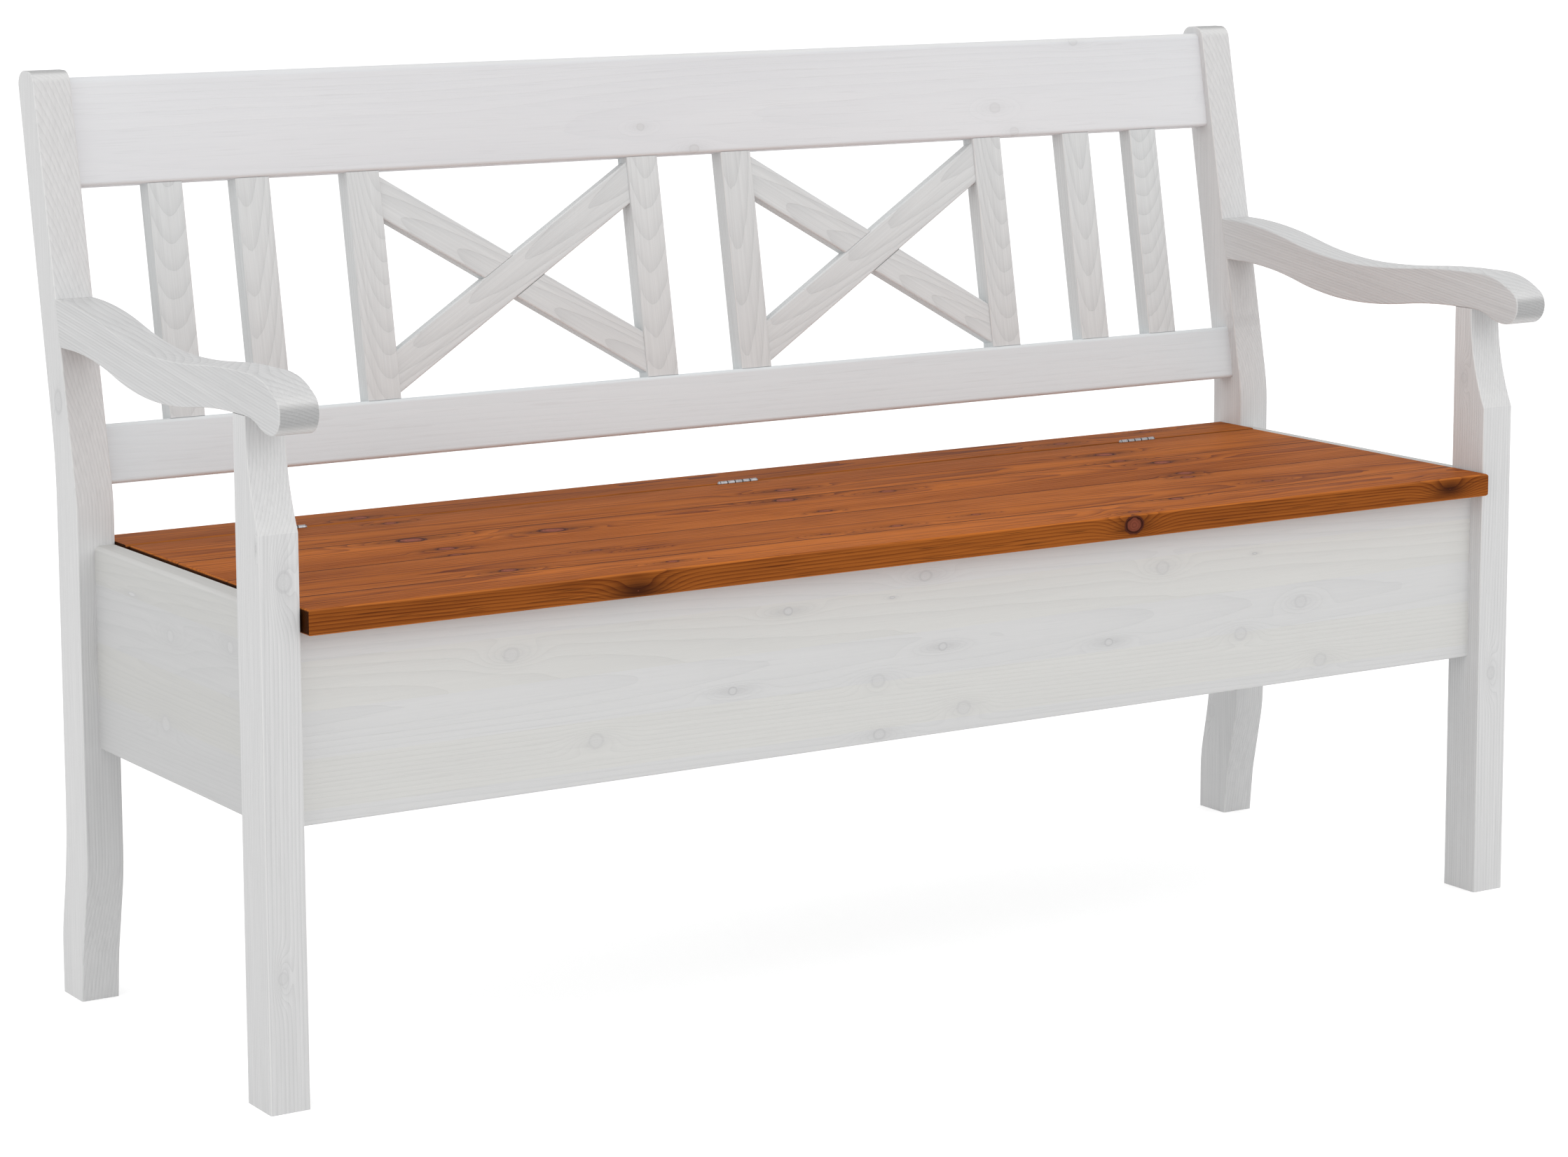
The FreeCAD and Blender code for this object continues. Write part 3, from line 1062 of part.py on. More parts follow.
document = FreeCAD.newDocument("settle_bench")
make_sheet()
fastener_groups = make_bench()
document.recompute()
pieces = [item for item in document.Objects if item.TypeId == "PartDesign::Body"] + fastener_groups
check_document(pieces)
write_parts(pieces)
whole = Part.makeCompound([piece.Shape for piece in pieces]).BoundBox
print("%d sub-parts, %.1f x %.1f x %.1f mm" % (len(pieces), whole.XLength, whole.YLength, whole.ZLength))
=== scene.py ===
"""Looks of a settle bench: glazed pine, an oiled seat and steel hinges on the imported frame.

Metres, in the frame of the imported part: X along the bench, Y to the back, Z up, and the floor at zero.
Every wooden piece gets a pattern worked out in three dimensions: growth rings round a pith line that
runs with the grain, fibres along it, and knots that push the rings aside. So a board's faces, edges
and ends agree with each other, as they do in sawn timber. Every piece keeps the CAD model's surface,
except for the hinges' screws, which are made here with a cross recess and a thread.
"""

import logging
import math
from dataclasses import dataclass, replace
from enum import Enum
from functools import partialmethod

import bpy
import numpy as np
from mathutils import Euler, Matrix, Vector


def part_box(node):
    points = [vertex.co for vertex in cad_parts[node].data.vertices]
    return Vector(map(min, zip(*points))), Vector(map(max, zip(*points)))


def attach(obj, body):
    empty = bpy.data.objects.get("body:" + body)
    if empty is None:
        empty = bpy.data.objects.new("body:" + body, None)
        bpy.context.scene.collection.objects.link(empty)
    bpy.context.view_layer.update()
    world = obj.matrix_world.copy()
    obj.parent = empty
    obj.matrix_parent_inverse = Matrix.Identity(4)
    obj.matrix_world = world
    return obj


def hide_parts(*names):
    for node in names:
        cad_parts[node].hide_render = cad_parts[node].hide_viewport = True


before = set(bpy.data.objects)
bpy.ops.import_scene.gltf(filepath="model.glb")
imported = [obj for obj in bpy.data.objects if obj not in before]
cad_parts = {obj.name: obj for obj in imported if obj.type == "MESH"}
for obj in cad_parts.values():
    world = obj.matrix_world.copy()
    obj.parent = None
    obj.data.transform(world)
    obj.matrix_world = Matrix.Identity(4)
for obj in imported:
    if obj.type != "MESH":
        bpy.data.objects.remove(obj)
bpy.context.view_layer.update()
LOG = logging.getLogger("settle_bench")

Number = int | float
Pair = tuple[float, float]
Triple = tuple[float, float, float]
Tree = bpy.types.NodeTree
Socket = bpy.types.NodeSocket

# Degrees: how far the back leans, how steeply its braces rise, and how the armrests' grain climbs.
RECLINE = 10.35
BRACE_SLOPE = 31.6
ARM_SLOPE = 8.0
WHITE = (1.0, 1.0, 1.0, 1.0)


def new_node(tree: Tree, kind: str, values: dict[str, object] | None = None) -> bpy.types.Node:
    """Add a shader node of a kind, with some of its inputs set by their names."""
    node = tree.nodes.new(f"ShaderNode{kind}")
    for name, value in (values or {}).items():
        node.inputs[name].default_value = value
    return node


class Grain(Enum):
    """Which way a piece's grain runs, as the turns about X, Y and Z that bring it onto the pattern's X."""

    ALONG = (0.0, 0.0, 0.0)
    DEEP = (0.0, 0.0, -90.0)
    UPRIGHT = (0.0, 90.0, 0.0)
    ARM = (-ARM_SLOPE, 0.0, -90.0)
    RAIL = (RECLINE, 0.0, 0.0)
    SLAT = (RECLINE, 90.0, 0.0)
    RISING = (RECLINE, BRACE_SLOPE, 0.0)
    FALLING = (RECLINE, -BRACE_SLOPE, 0.0)

    def matrix(self) -> Matrix:
        """The turn from the bench's frame to the pattern's."""
        return Euler([math.radians(part) for part in self.value], "XYZ").to_matrix()

    def turned(self, arrow: Vector) -> Vector:
        """A vector of the bench's frame, in the pattern's frame."""
        return self.matrix() @ arrow

    def from_pattern(self, arrow: Vector) -> Triple:
        """A vector of the pattern's frame, in the bench's frame."""
        return tuple(self.matrix().transposed() @ arrow)


@dataclass(frozen=True)
class Formula:
    """A number worked out by nodes at each point of a surface, with the usual arithmetic."""

    tree: Tree
    socket: Socket

    def math(self, operation: str, *others: "Formula | Number", clamp: bool = False) -> "Formula":
        """Apply one Math node to this number and the others; clamp keeps the result between 0 and 1."""
        node = new_node(self.tree, "Math")
        node.operation = operation
        node.use_clamp = clamp
        for index, part in enumerate((self, *others)):
            if isinstance(part, Formula):
                self.tree.links.new(part.socket, node.inputs[index])
            else:
                node.inputs[index].default_value = part
        return Formula(self.tree, node.outputs[0])

    __add__ = partialmethod(math, "ADD")
    __sub__ = partialmethod(math, "SUBTRACT")
    __mul__ = partialmethod(math, "MULTIPLY")
    __truediv__ = partialmethod(math, "DIVIDE")

    def below(self, other: Number) -> "Formula":
        """A number less this one."""
        return (self * -1) + other

    def smooth(self, low: Number, high: Number) -> "Formula":
        """A soft step from 0 at low to 1 at high, which may lie above or below low."""
        rising = float(high > low)
        node = new_node(self.tree, "MapRange", {
            "From Min": min(low, high), "From Max": max(low, high), "To Min": 1.0 - rising, "To Max": rising})
        node.interpolation_type = "SMOOTHSTEP"
        self.tree.links.new(self.socket, node.inputs["Value"])
        return Formula(self.tree, node.outputs["Result"])


@dataclass(frozen=True)
class Place:
    """A position in a node tree, from which numbers are worked out."""

    tree: Tree
    socket: Socket

    def vector_math(self, operation: str, amounts: Triple | None = None) -> bpy.types.Node:
        """Apply one Vector Math node to the position and, where it has one, its second vector."""
        node = new_node(self.tree, "VectorMath")
        node.operation = operation
        self.tree.links.new(self.socket, node.inputs[0])
        if amounts is not None:
            node.inputs[1].default_value = amounts
        return node

    def moved(self, amounts: Triple) -> "Place":
        """The position with a vector added."""
        return Place(self.tree, self.vector_math("ADD", amounts).outputs[0])

    def scaled(self, amounts: Triple) -> "Place":
        """The position with each part multiplied."""
        return Place(self.tree, self.vector_math("MULTIPLY", amounts).outputs[0])

    def turned(self, degrees: Triple) -> "Place":
        """The position turned about X, then Y, then Z."""
        node = new_node(self.tree, "Mapping", {"Rotation": [math.radians(part) for part in degrees]})
        self.tree.links.new(self.socket, node.inputs["Vector"])
        return Place(self.tree, node.outputs["Vector"])

    def along(self, arrow: Triple) -> Formula:
        """How far the position lies along a unit vector."""
        return Formula(self.tree, self.vector_math("DOT_PRODUCT", arrow).outputs["Value"])

    def length(self) -> Formula:
        """The distance from the origin."""
        return Formula(self.tree, self.vector_math("LENGTH").outputs["Value"])

    def parts(self) -> tuple[Formula, Formula, Formula]:
        """The three coordinates."""
        node = new_node(self.tree, "SeparateXYZ")
        self.tree.links.new(self.socket, node.inputs[0])
        return tuple(Formula(self.tree, output) for output in node.outputs)

    def noise(self, scale: float, detail: float, rough: float) -> Formula:
        """Soft noise about 0.5: its waves in each unit of length, its finer layers and their strength."""
        node = new_node(self.tree, "TexNoise", {"Scale": scale, "Detail": detail, "Roughness": rough})
        self.tree.links.new(self.socket, node.inputs["Vector"])
        return Formula(self.tree, node.outputs["Fac"])


class Through(Enum):
    """Which of the pattern's axes a knot's branch runs along: the second or the third."""

    SECOND = 1
    THIRD = 2


@dataclass(frozen=True)
class Knot:
    """Where a branch crossed the timber, in the bench's frame.

    stretch is the knot's length along the grain over its width, and streak how far its dark tail runs
    along the grain, in radii. reach is how far the branch goes on from the centre. heart is the share of
    the radius that the branch itself fills: where it is small, the knot is a dark flame.
    """

    centre: Triple
    radius: float
    through: Through = Through.SECOND
    stretch: float = 1.25
    tone: float = 1.0
    streak: float = 2.4
    reach: float = 0.5
    heart: float = 1.0

    def squeeze(self) -> Triple:
        """What each of the pattern's coordinates is multiplied by, so that the knot's rim is at 1."""
        sizes = [self.radius * self.stretch, self.radius, self.radius]
        sizes[self.through.value] = self.reach
        return tuple(1 / size for size in sizes)


@dataclass(frozen=True)
class Timber:
    """How one piece of timber was cut: its grain, its pith, its knots and the staves it is glued from.

    pith is where the middle of the tree's rings lies from the piece's middle, along the pattern's second
    and third axes. ring is the width of one year's growth, taper how much the rings' cone departs from
    the piece's length, seed its own part of the noise, waver how much the noise moves its rings, staves
    the heights of a panel's glue lines, seams the Y of a seat board's dark lines, and tone what the
    piece's colour is multiplied by. The dark lines are joints between the lid's boards, and painted shade
    along both edges of the hinge gap between the lid and the strip.
    """

    grain: Grain = Grain.ALONG
    pith: Pair = (0.02, -0.06)
    ring: float = 0.0024
    taper: float = 0.01
    seed: float = 0.0
    waver: float = 1.0
    knots: tuple[Knot, ...] = ()
    staves: tuple[float, ...] = ()
    seam_lines_and_gap_shade: tuple[float, ...] = ()
    tone: float = 1.0


@dataclass(frozen=True)
class Finish:
    """What was done to the surface of the timber.

    end_grain_and_shade_tone and edge_tone are what the colour is multiplied by on end grain, and on the faces
    that look along the pattern's second axis. On the oiled seat the end grain's tone is mostly painted shade:
    the lid's ends, which sit in the shaded gap by the posts, are drawn nearly black. base_share is how much
    of the late wood's colour is everywhere, pore_strength how dark the short lines along the grain are, and
    worn the colour of rubbed corners, which is lighter both as wear and as a painted highlight along the
    rounded edges.
    """

    name: str
    early: Triple
    late: Triple
    knot: Triple
    core: Triple
    worn_and_highlight: Triple
    grain_strength: float
    fibre_strength: float
    cloud_strength: float
    pore_strength: float
    knot_strength: float
    end_grain_and_shade_tone: float
    roughness: float
    specular: float
    relief: float
    base_share: float = 0.16
    edge_tone: float = 1.0
    odd_stave: Triple = (1.0, 1.0, 1.0)


WHITE_BRUSHED = Finish(
    name="white_brushed", early=(0.740, 0.740, 0.740), late=(0.580, 0.581, 0.584),
    knot=(0.52, 0.52, 0.525), core=(0.66, 0.66, 0.66), worn_and_highlight=(0.79, 0.785, 0.775), grain_strength=0.40,
    fibre_strength=0.42, cloud_strength=0.16, pore_strength=0.12, knot_strength=0.65, end_grain_and_shade_tone=0.67,
    roughness=0.55, specular=0.3, relief=0.00025)
WHITE_ARM = replace(
    WHITE_BRUSHED, name="white_arm", early=(0.700, 0.701, 0.702), late=(0.515, 0.517, 0.520),
    grain_strength=0.48)
WHITE_BACK = replace(
    WHITE_BRUSHED, name="white_back", early=(0.738, 0.757, 0.760), late=(0.565, 0.582, 0.588))
WHITE_PANEL = replace(
    WHITE_BRUSHED, name="white_panel", early=(0.705, 0.706, 0.704), late=(0.590, 0.592, 0.596),
    odd_stave=(1.010, 1.005, 0.978), grain_strength=0.24, fibre_strength=0.16, relief=0.00012)
WHITE_SIDE = replace(
    WHITE_PANEL, name="white_side", early=(0.605, 0.606, 0.605), late=(0.500, 0.502, 0.506))
WHITE_RAIL = replace(
    WHITE_BRUSHED, name="white_rail", early=(0.785, 0.793, 0.810), late=(0.655, 0.666, 0.692),
    grain_strength=0.14, fibre_strength=0.12, cloud_strength=0.30, relief=0.00008)
WHITE_LOW_RAIL = replace(
    WHITE_RAIL, name="white_low_rail", early=(0.785, 0.825, 0.848), late=(0.650, 0.690, 0.716))
# The oiled pine's end grain tone of 0.10 is mostly painted shade: the lid's ends in the shaded gaps by the
# posts are drawn nearly black.
OILED_PINE = Finish(
    name="oiled_pine", early=(0.520, 0.150, 0.024), late=(0.150, 0.028, 0.005),
    knot=(0.040, 0.009, 0.005), core=(0.330, 0.090, 0.052), worn_and_highlight=(0.60, 0.20, 0.045),
    grain_strength=0.66, fibre_strength=0.42, cloud_strength=0.55, pore_strength=0.55, knot_strength=1.0,
    end_grain_and_shade_tone=0.10, edge_tone=0.66, roughness=0.62, specular=0.04, relief=0.00012)
RAW_BEECH = Finish(
    name="raw_beech", early=(0.62, 0.40, 0.22), late=(0.47, 0.27, 0.13), knot=(0.3, 0.18, 0.1),
    core=(0.3, 0.18, 0.1), worn_and_highlight=(0.66, 0.46, 0.28), base_share=0.2, grain_strength=0.5,
    fibre_strength=0.4, cloud_strength=0.3, pore_strength=0.3, knot_strength=0.0, end_grain_and_shade_tone=0.7,
    roughness=0.6, specular=0.3, relief=0.0001)


@dataclass(frozen=True)
class Metal:
    """A metal and its surface: the colour, how far it darkens in patches, and the rubbing marks.

    joint_pitch is the distance between the dark oil marks on a hinge's knuckles.
    """

    name: str
    bright: Triple
    dull: Triple
    roughness: float
    roughness_spread: float
    relief: float
    joint_pitch: float = 0.0094


ZINC_STEEL = Metal(name="zinc_steel", bright=(0.50, 0.50, 0.515), dull=(0.24, 0.24, 0.255),
                   roughness=0.34, roughness_spread=0.25, relief=0.00003)


def mixed(tree: Tree, share: Formula | Number, first: "Triple | Socket",
          second: "Triple | Socket", blend: str = "MIX") -> Socket:
    """Mix two colours.

    Args:
        tree: the node tree.
        share: how much of the second is taken.
        first: a colour or a colour socket.
        second: the same.
        blend: the node's way of mixing.

    Returns:
        The mixed colour's socket.
    """
    node = new_node(tree, "Mix")
    node.data_type = "RGBA"
    node.blend_type = blend
    if isinstance(share, Formula):
        tree.links.new(share.socket, node.inputs["Factor"])
    else:
        node.inputs["Factor"].default_value = share
    colours = [entry for entry in node.inputs if entry.type == "RGBA"]
    for socket, part in zip(colours, (first, second)):
        if isinstance(part, tuple):
            socket.default_value = (*part, 1.0)
        else:
            tree.links.new(part, socket)
    return next(entry for entry in node.outputs if entry.type == "RGBA")


def new_material(name: str) -> tuple[bpy.types.Material, Tree]:
    """An empty node material and its tree."""
    made = bpy.data.materials.new(name)
    made.use_nodes = True
    made.node_tree.nodes.clear()
    return made, made.node_tree


def finish_surface(tree: Tree, shader: bpy.types.Node, height: Formula, relief: float) -> None:
    """Add a relief, whose height is in shares of its depth, and the output to a shader."""
    bump = new_node(tree, "Bump", {"Strength": 1.0, "Distance": relief})
    tree.links.new(height.socket, bump.inputs["Height"])
    tree.links.new(bump.outputs["Normal"], shader.inputs["Normal"])
    out = new_node(tree, "OutputMaterial")
    tree.links.new(shader.outputs["BSDF"], out.inputs["Surface"])


@dataclass(frozen=True)
class WoodMaker:
    """Makes the node materials of the wooden pieces that share a finish."""

    finish: Finish
    # Waves in a metre, along the grain and across it.
    fibre_waves: Triple = (7.0, 430.0, 430.0)
    cloud_waves: Triple = (1.5, 12.0, 12.0)
    pore_waves: Triple = (17.0, 620.0, 620.0)
    slow_waves: Triple = (1.3, 6.0, 6.0)
    quick_waves: Triple = (10.0, 70.0, 70.0)
    rim_waves: float = 150.0
    # How far a timber's seed moves the noise, and a glue line the pattern.
    seed_step: Triple = (7.31, 3.17, 1.73)
    stave_step: Triple = (1.37, 0.019, -0.013)
    # How far the noises move the rings, in metres, and a knot does, in rings.
    slow_shift: float = 0.022
    quick_shift: float = 0.0016
    knot_bulge: float = 4.5
    # The rings' taper along the third axis, as a share of that along the second, and their shape.
    second_taper: float = 0.4
    ring_sharpness: float = 2.4
    # Where soft steps begin and end, and half the width of a glue line.
    pore_step: Pair = (0.60, 0.74)
    whole_step: Pair = (-0.25, 0.2)
    rim_step: Pair = (1.12, 0.98)
    heart_step: Pair = (0.55, 0.85)
    band_step: Pair = (0.2, 0.9)
    dent_step: Pair = (1.3, 0.9)
    corner_step: Pair = (0.985, 0.86)
    face_step: Pair = (0.70, 0.96)
    seam_half: float = 0.0020
    # A knot's uneven rim, the fading of its stain, and its heart's rings.
    rim_wobble: float = 0.32
    stain_fade: float = 0.9
    heart_bands: float = 3.4
    # How strongly each part shows.
    noise_gain: float = 2.5
    stain_share: float = 0.6
    band_share: float = 0.3
    heart_share: float = 0.7
    seam_and_gap_shade_share: float = 0.85
    # The share of the rubbed corners' lighter colour, which is wear and also a painted highlight.
    worn_and_highlight_share: float = 0.6
    fibre_roughness: float = 0.2
    ring_roughness: float = -0.06
    ring_relief: float = -0.6
    fibre_relief: float = 0.8
    knot_relief: float = 0.6

    def material(self, name: str, timber: Timber, middle: Triple) -> bpy.types.Material:
        """Make the material of one piece.

        The rings are the distance from the pith line, with slow noise added and a bulge at each knot,
        divided by a ring's width. Each ring darkens slowly and ends sharply. Each stave of a glued
        panel moves the pattern on, so that it has a figure of its own.

        Args:
            name: the material's name.
            timber: how the piece was cut.
            middle: the middle of the piece.

        Returns:
            The material.
        """
        finish = self.finish
        made, tree = new_material(name)
        coordinates = new_node(tree, "TexCoord")
        world = Place(tree, coordinates.outputs["Object"])
        plain = world.moved(tuple(-part for part in middle)).turned(timber.grain.value)
        core, halo, tone = self.knots(plain, timber, middle)
        board, odd = self.staves(world, plain, timber)
        drift = board.moved(tuple(timber.seed * step for step in self.seed_step))
        late = self.rings(board, drift, timber, halo).math("POWER", self.ring_sharpness)
        fibres = drift.scaled(self.fibre_waves).noise(1.0, 3.0, 0.65) - 0.5
        cloud = drift.scaled(self.cloud_waves).noise(1.0, 2.0, 0.55) - 0.5
        share = (late * finish.grain_strength + fibres * (finish.fibre_strength * self.noise_gain)
                 + cloud * (finish.cloud_strength * self.noise_gain))
        colour = mixed(tree, share.math("ADD", finish.base_share, clamp=True), finish.early, finish.late)
        pores = drift.scaled(self.pore_waves).noise(1.0, 1.0, 0.5).smooth(*self.pore_step)
        colour = mixed(tree, pores * finish.pore_strength, colour, finish.knot)
        if timber.tone != 1.0:
            colour = mixed(tree, 1.0, colour, (timber.tone,) * 3, "MULTIPLY")
        if odd is not None:
            colour = mixed(tree, odd, colour, finish.odd_stave, "MULTIPLY")
        if core is not None:
            colour = self.with_knots(tree, colour, core, halo, tone)
        # Dark lines at the seat boards' joints; along the hinge gap between lid and strip they are painted
        # shade.
        for level in timber.seam_lines_and_gap_shade:
            near = (world.parts()[1] - level).math("ABSOLUTE").smooth(self.seam_half, self.seam_half / 3)
            colour = mixed(tree, near * self.seam_and_gap_shade_share, colour, finish.knot)
        colour = self.with_wear_and_painted_light(Place(tree, coordinates.outputs["Normal"]), colour, cloud, timber.grain)

        shader = new_node(tree, "BsdfPrincipled", {"Specular IOR Level": finish.specular})
        tree.links.new(colour, shader.inputs["Base Color"])
        rough = fibres * self.fibre_roughness + late * self.ring_roughness + finish.roughness
        tree.links.new(rough.socket, shader.inputs["Roughness"])
        height = late * self.ring_relief + fibres * self.fibre_relief
        if core is not None:
            height = height + core.smooth(*self.dent_step) * tone * self.knot_relief
        finish_surface(tree, shader, height, finish.relief)
        made.diffuse_color = (*finish.early, 1.0)
        return made

    def with_wear_and_painted_light(self, facing: Place, colour: Socket, cloud: Formula, grain: Grain) -> Socket:
        """Lay the rubbed corners, the end grain and the darker edges over the timber.

        The rubbed corners are lighter both as wear and as a painted highlight along the rounded edges, and
        the oiled seat's near-black end grain is mostly painted shade of the gaps by the posts.

        Args:
            facing: the surface's direction in the bench's frame.
            colour: the timber's colour.
            cloud: slow noise, which keeps some corners whole.
            grain: which way the piece's grain runs.

        Returns:
            The colour's socket.
        """
        finish, tree = self.finish, facing.tree
        flat, *others = [side.math("ABSOLUTE") for side in facing.turned(grain.value).parts()]
        for side in others:
            flat = flat.math("MAXIMUM", side)
        # The lighter colour on rounded corners is wear, and also a painted highlight along the edges.
        corner = flat.smooth(*self.corner_step) * cloud.smooth(*self.whole_step)
        colour = mixed(tree, corner * self.worn_and_highlight_share, colour, finish.worn_and_highlight)
        # End grain is darker; on the oiled seat this is mostly painted shade, for the lid's ends in the gaps
        # by the posts.
        for axis, tone in ((Vector((1.0, 0.0, 0.0)), finish.end_grain_and_shade_tone),
                           (Vector((0.0, 1.0, 0.0)), finish.edge_tone)):
            if tone < 1.0:
                face = facing.along(grain.from_pattern(axis)).math("ABSOLUTE").smooth(*self.face_step)
                colour = mixed(tree, face, colour, (tone,) * 3, "MULTIPLY")
        return colour

    def staves(self, world: Place, board: Place, timber: Timber) -> tuple[Place, Formula | None]:
        """Move the pattern on at each glue line of a panel.

        Args:
            world: the position in the bench's frame.
            board: the position in the pattern's frame.
            timber: how the piece was cut.

        Returns:
            The moved position, and 1 in every other stave or None where there is one stave.
        """
        if not timber.staves:
            return board, None
        height = world.parts()[2]
        count = sum((height.math("GREATER_THAN", level) for level in timber.staves[1:]),
                    height.math("GREATER_THAN", timber.staves[0]))
        node = new_node(world.tree, "CombineXYZ")
        for socket, step in zip(node.inputs, self.stave_step):
            world.tree.links.new((count * step).socket, socket)
        add = board.vector_math("ADD")
        world.tree.links.new(node.outputs[0], add.inputs[1])
        return Place(world.tree, add.outputs[0]), count.math("MODULO", 2.0)

    def rings(self, board: Place, drift: Place, timber: Timber, halo: Formula | None) -> Formula:
        """Where a point lies in its year's growth, from 0 to 1.

        Args:
            board: the position from the piece's middle, with the grain along X.
            drift: the same, moved to the piece's own part of the noise.
            timber: how the piece was cut.
            halo: the distance from the nearest knot.

        Returns:
            The place within the ring.
        """
        along, across, up = board.parts()
        slow = drift.scaled(self.slow_waves).noise(1.0, 1.0, 0.4) - 0.5
        quick = drift.scaled(self.quick_waves).noise(1.0, 2.0, 0.5) - 0.5
        beside = across + along * timber.taper - timber.pith[0]
        above = up + along * (timber.taper * self.second_taper) - timber.pith[1]
        distance = (beside * beside + above * above).math("SQRT")
        distance = (distance + slow * (self.slow_shift * timber.waver)
                    + quick * (self.quick_shift * timber.waver))
        if halo is not None:
            bulge = (halo * halo * -0.5).math("EXPONENT")
            distance = distance + bulge * (timber.ring * self.knot_bulge)
        return (distance / timber.ring).math("FRACT")

    def knots(self, board: Place, timber: Timber, middle: Triple
              ) -> tuple[Formula | None, Formula | None, Formula | Number | None]:
        """The nearest knot's distance with its rim at 1, the same drawn out along the grain, and its tone.

        Args:
            board: the position from the piece's middle, in the pattern's frame.
            timber: how the piece was cut.
            middle: the middle of the piece.

        Returns:
            The three numbers, or None for each where there are no knots.
        """
        core = halo = tone = None
        if timber.knots:
            wobble = board.noise(self.rim_waves, 1.0, 0.5) * self.rim_wobble - self.rim_wobble / 2
        for knot in timber.knots:
            place = timber.grain.turned(Vector(knot.centre) - Vector(middle))
            offset = board.moved(tuple(-part for part in place)).scaled(knot.squeeze())
            rim = offset.length() / knot.heart + wobble
            around = offset.scaled((1 / knot.streak, 1.0, 1.0)).length()
            if core is None:
                core, halo, tone = rim, around, knot.tone
                continue
            nearer = around.math("LESS_THAN", halo)
            tone = nearer.below(1.0) * tone + nearer * knot.tone
            core = core.math("MINIMUM", rim)
            halo = halo.math("MINIMUM", around)
        return core, halo, tone

    def with_knots(self, tree: Tree, colour: Socket, core: Formula,
                   halo: Formula, tone: Formula | Number) -> Socket:
        """Lay the knots over the timber: a dark rim, a paler heart with rings of its own, a stain around.

        Args:
            tree: the node tree.
            colour: the timber's colour.
            core: the distance from the nearest knot, with its rim at 1.
            halo: the same, drawn out along the grain.
            tone: how strongly that knot shows.

        Returns:
            The colour's socket.
        """
        finish = self.finish
        strength = tone * finish.knot_strength
        stain = (halo * halo * -self.stain_fade).math("EXPONENT") * strength * self.stain_share
        colour = mixed(tree, stain, colour, finish.knot)
        inside = core.smooth(*self.rim_step) * strength
        bands = (core * self.heart_bands).math("FRACT").smooth(*self.band_step)
        dark = bands * self.band_share + core.smooth(*self.heart_step) * self.heart_share
        heart = mixed(tree, dark, finish.core, finish.knot)
        return mixed(tree, inside, colour, heart)


@dataclass(frozen=True)
class MetalMaker:
    """Makes the node materials of the metal pieces, from patches and fine lines of noise."""

    metal: Metal
    own_shift: float = 3.7
    patch_waves: float = 320.0
    patch_step: Pair = (0.35, 0.75)
    patch_share: float = 0.7
    patch_relief: float = 0.5
    line_waves: Triple = (120.0, 2600.0, 2600.0)
    line_share: float = 0.4
    line_roughness: float = 0.1
    oil: Triple = (0.02, 0.018, 0.016)
    oil_step: Pair = (0.12, 0.05)
    oil_share: float = 0.9

    def material(self, name: str, middle: Triple, oily: bool = False) -> bpy.types.Material:
        """Make a plated and slightly rubbed metal.

        Args:
            name: the material's name.
            middle: the middle of the piece, so that pieces don't share a pattern.
            oily: whether it has dark oil marks, counted from its middle.

        Returns:
            The material.
        """
        metal = self.metal
        made, tree = new_material(name)
        world = Place(tree, new_node(tree, "TexCoord").outputs["Object"])
        own = world.moved(tuple(part * self.own_shift for part in middle))
        patches = own.noise(self.patch_waves, 3.0, 0.6).smooth(*self.patch_step)
        lines = own.scaled(self.line_waves).noise(1.0, 2.0, 0.6) - 0.5
        shader = new_node(tree, "BsdfPrincipled", {"Metallic": 1.0})
        share = patches * self.patch_share + lines * self.line_share
        colour = mixed(tree, share, metal.bright, metal.dull)
        if oily:
            along = (world.parts()[0] - middle[0]) / metal.joint_pitch
            joint = along.math("FRACT").below(0.5).math("ABSOLUTE").smooth(*self.oil_step)
            colour = mixed(tree, joint * self.oil_share, colour, self.oil)
        tree.links.new(colour, shader.inputs["Base Color"])
        rough = patches * metal.roughness_spread + lines * self.line_roughness + metal.roughness
        tree.links.new(rough.socket, shader.inputs["Roughness"])
        finish_surface(tree, shader, lines + patches * self.patch_relief, metal.relief)
        made.diffuse_color = (*metal.bright, 1.0)
        return made


def new_piece(name: str, points: np.ndarray, faces: np.ndarray) -> bpy.types.Object:
    """Make a smooth-shaded object from points of the bench's frame and four-sided faces."""
    mesh = bpy.data.meshes.new(name)
    mesh.from_pydata(points.tolist(), [], faces.tolist())
    mesh.update()
    mesh.shade_smooth()
    made = bpy.data.objects.new(name, mesh)
    bpy.context.scene.collection.objects.link(made)
    LOG.info("%s is made with %d faces", name, len(faces))
    return made


def place_of(node: str) -> Triple:
    """The middle of a CAD node's box."""
    low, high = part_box(node)
    return tuple(float(part) for part in (low + high) / 2)


def dress(node: str, material: bpy.types.Material) -> None:
    """Give a CAD node the material that covers all of it."""
    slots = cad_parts[node].data.materials
    slots.clear()
    slots.append(material)
    LOG.info("%s is dressed in %s", node, material.name)


def dress_wood(maker: WoodMaker, pieces: dict[str, Timber]) -> None:
    """Give wooden nodes their materials, from the maker of their finish and each node's timber."""
    for node, timber in pieces.items():
        dress(node, maker.material(f"{maker.finish.name}_{node}", timber, place_of(node)))


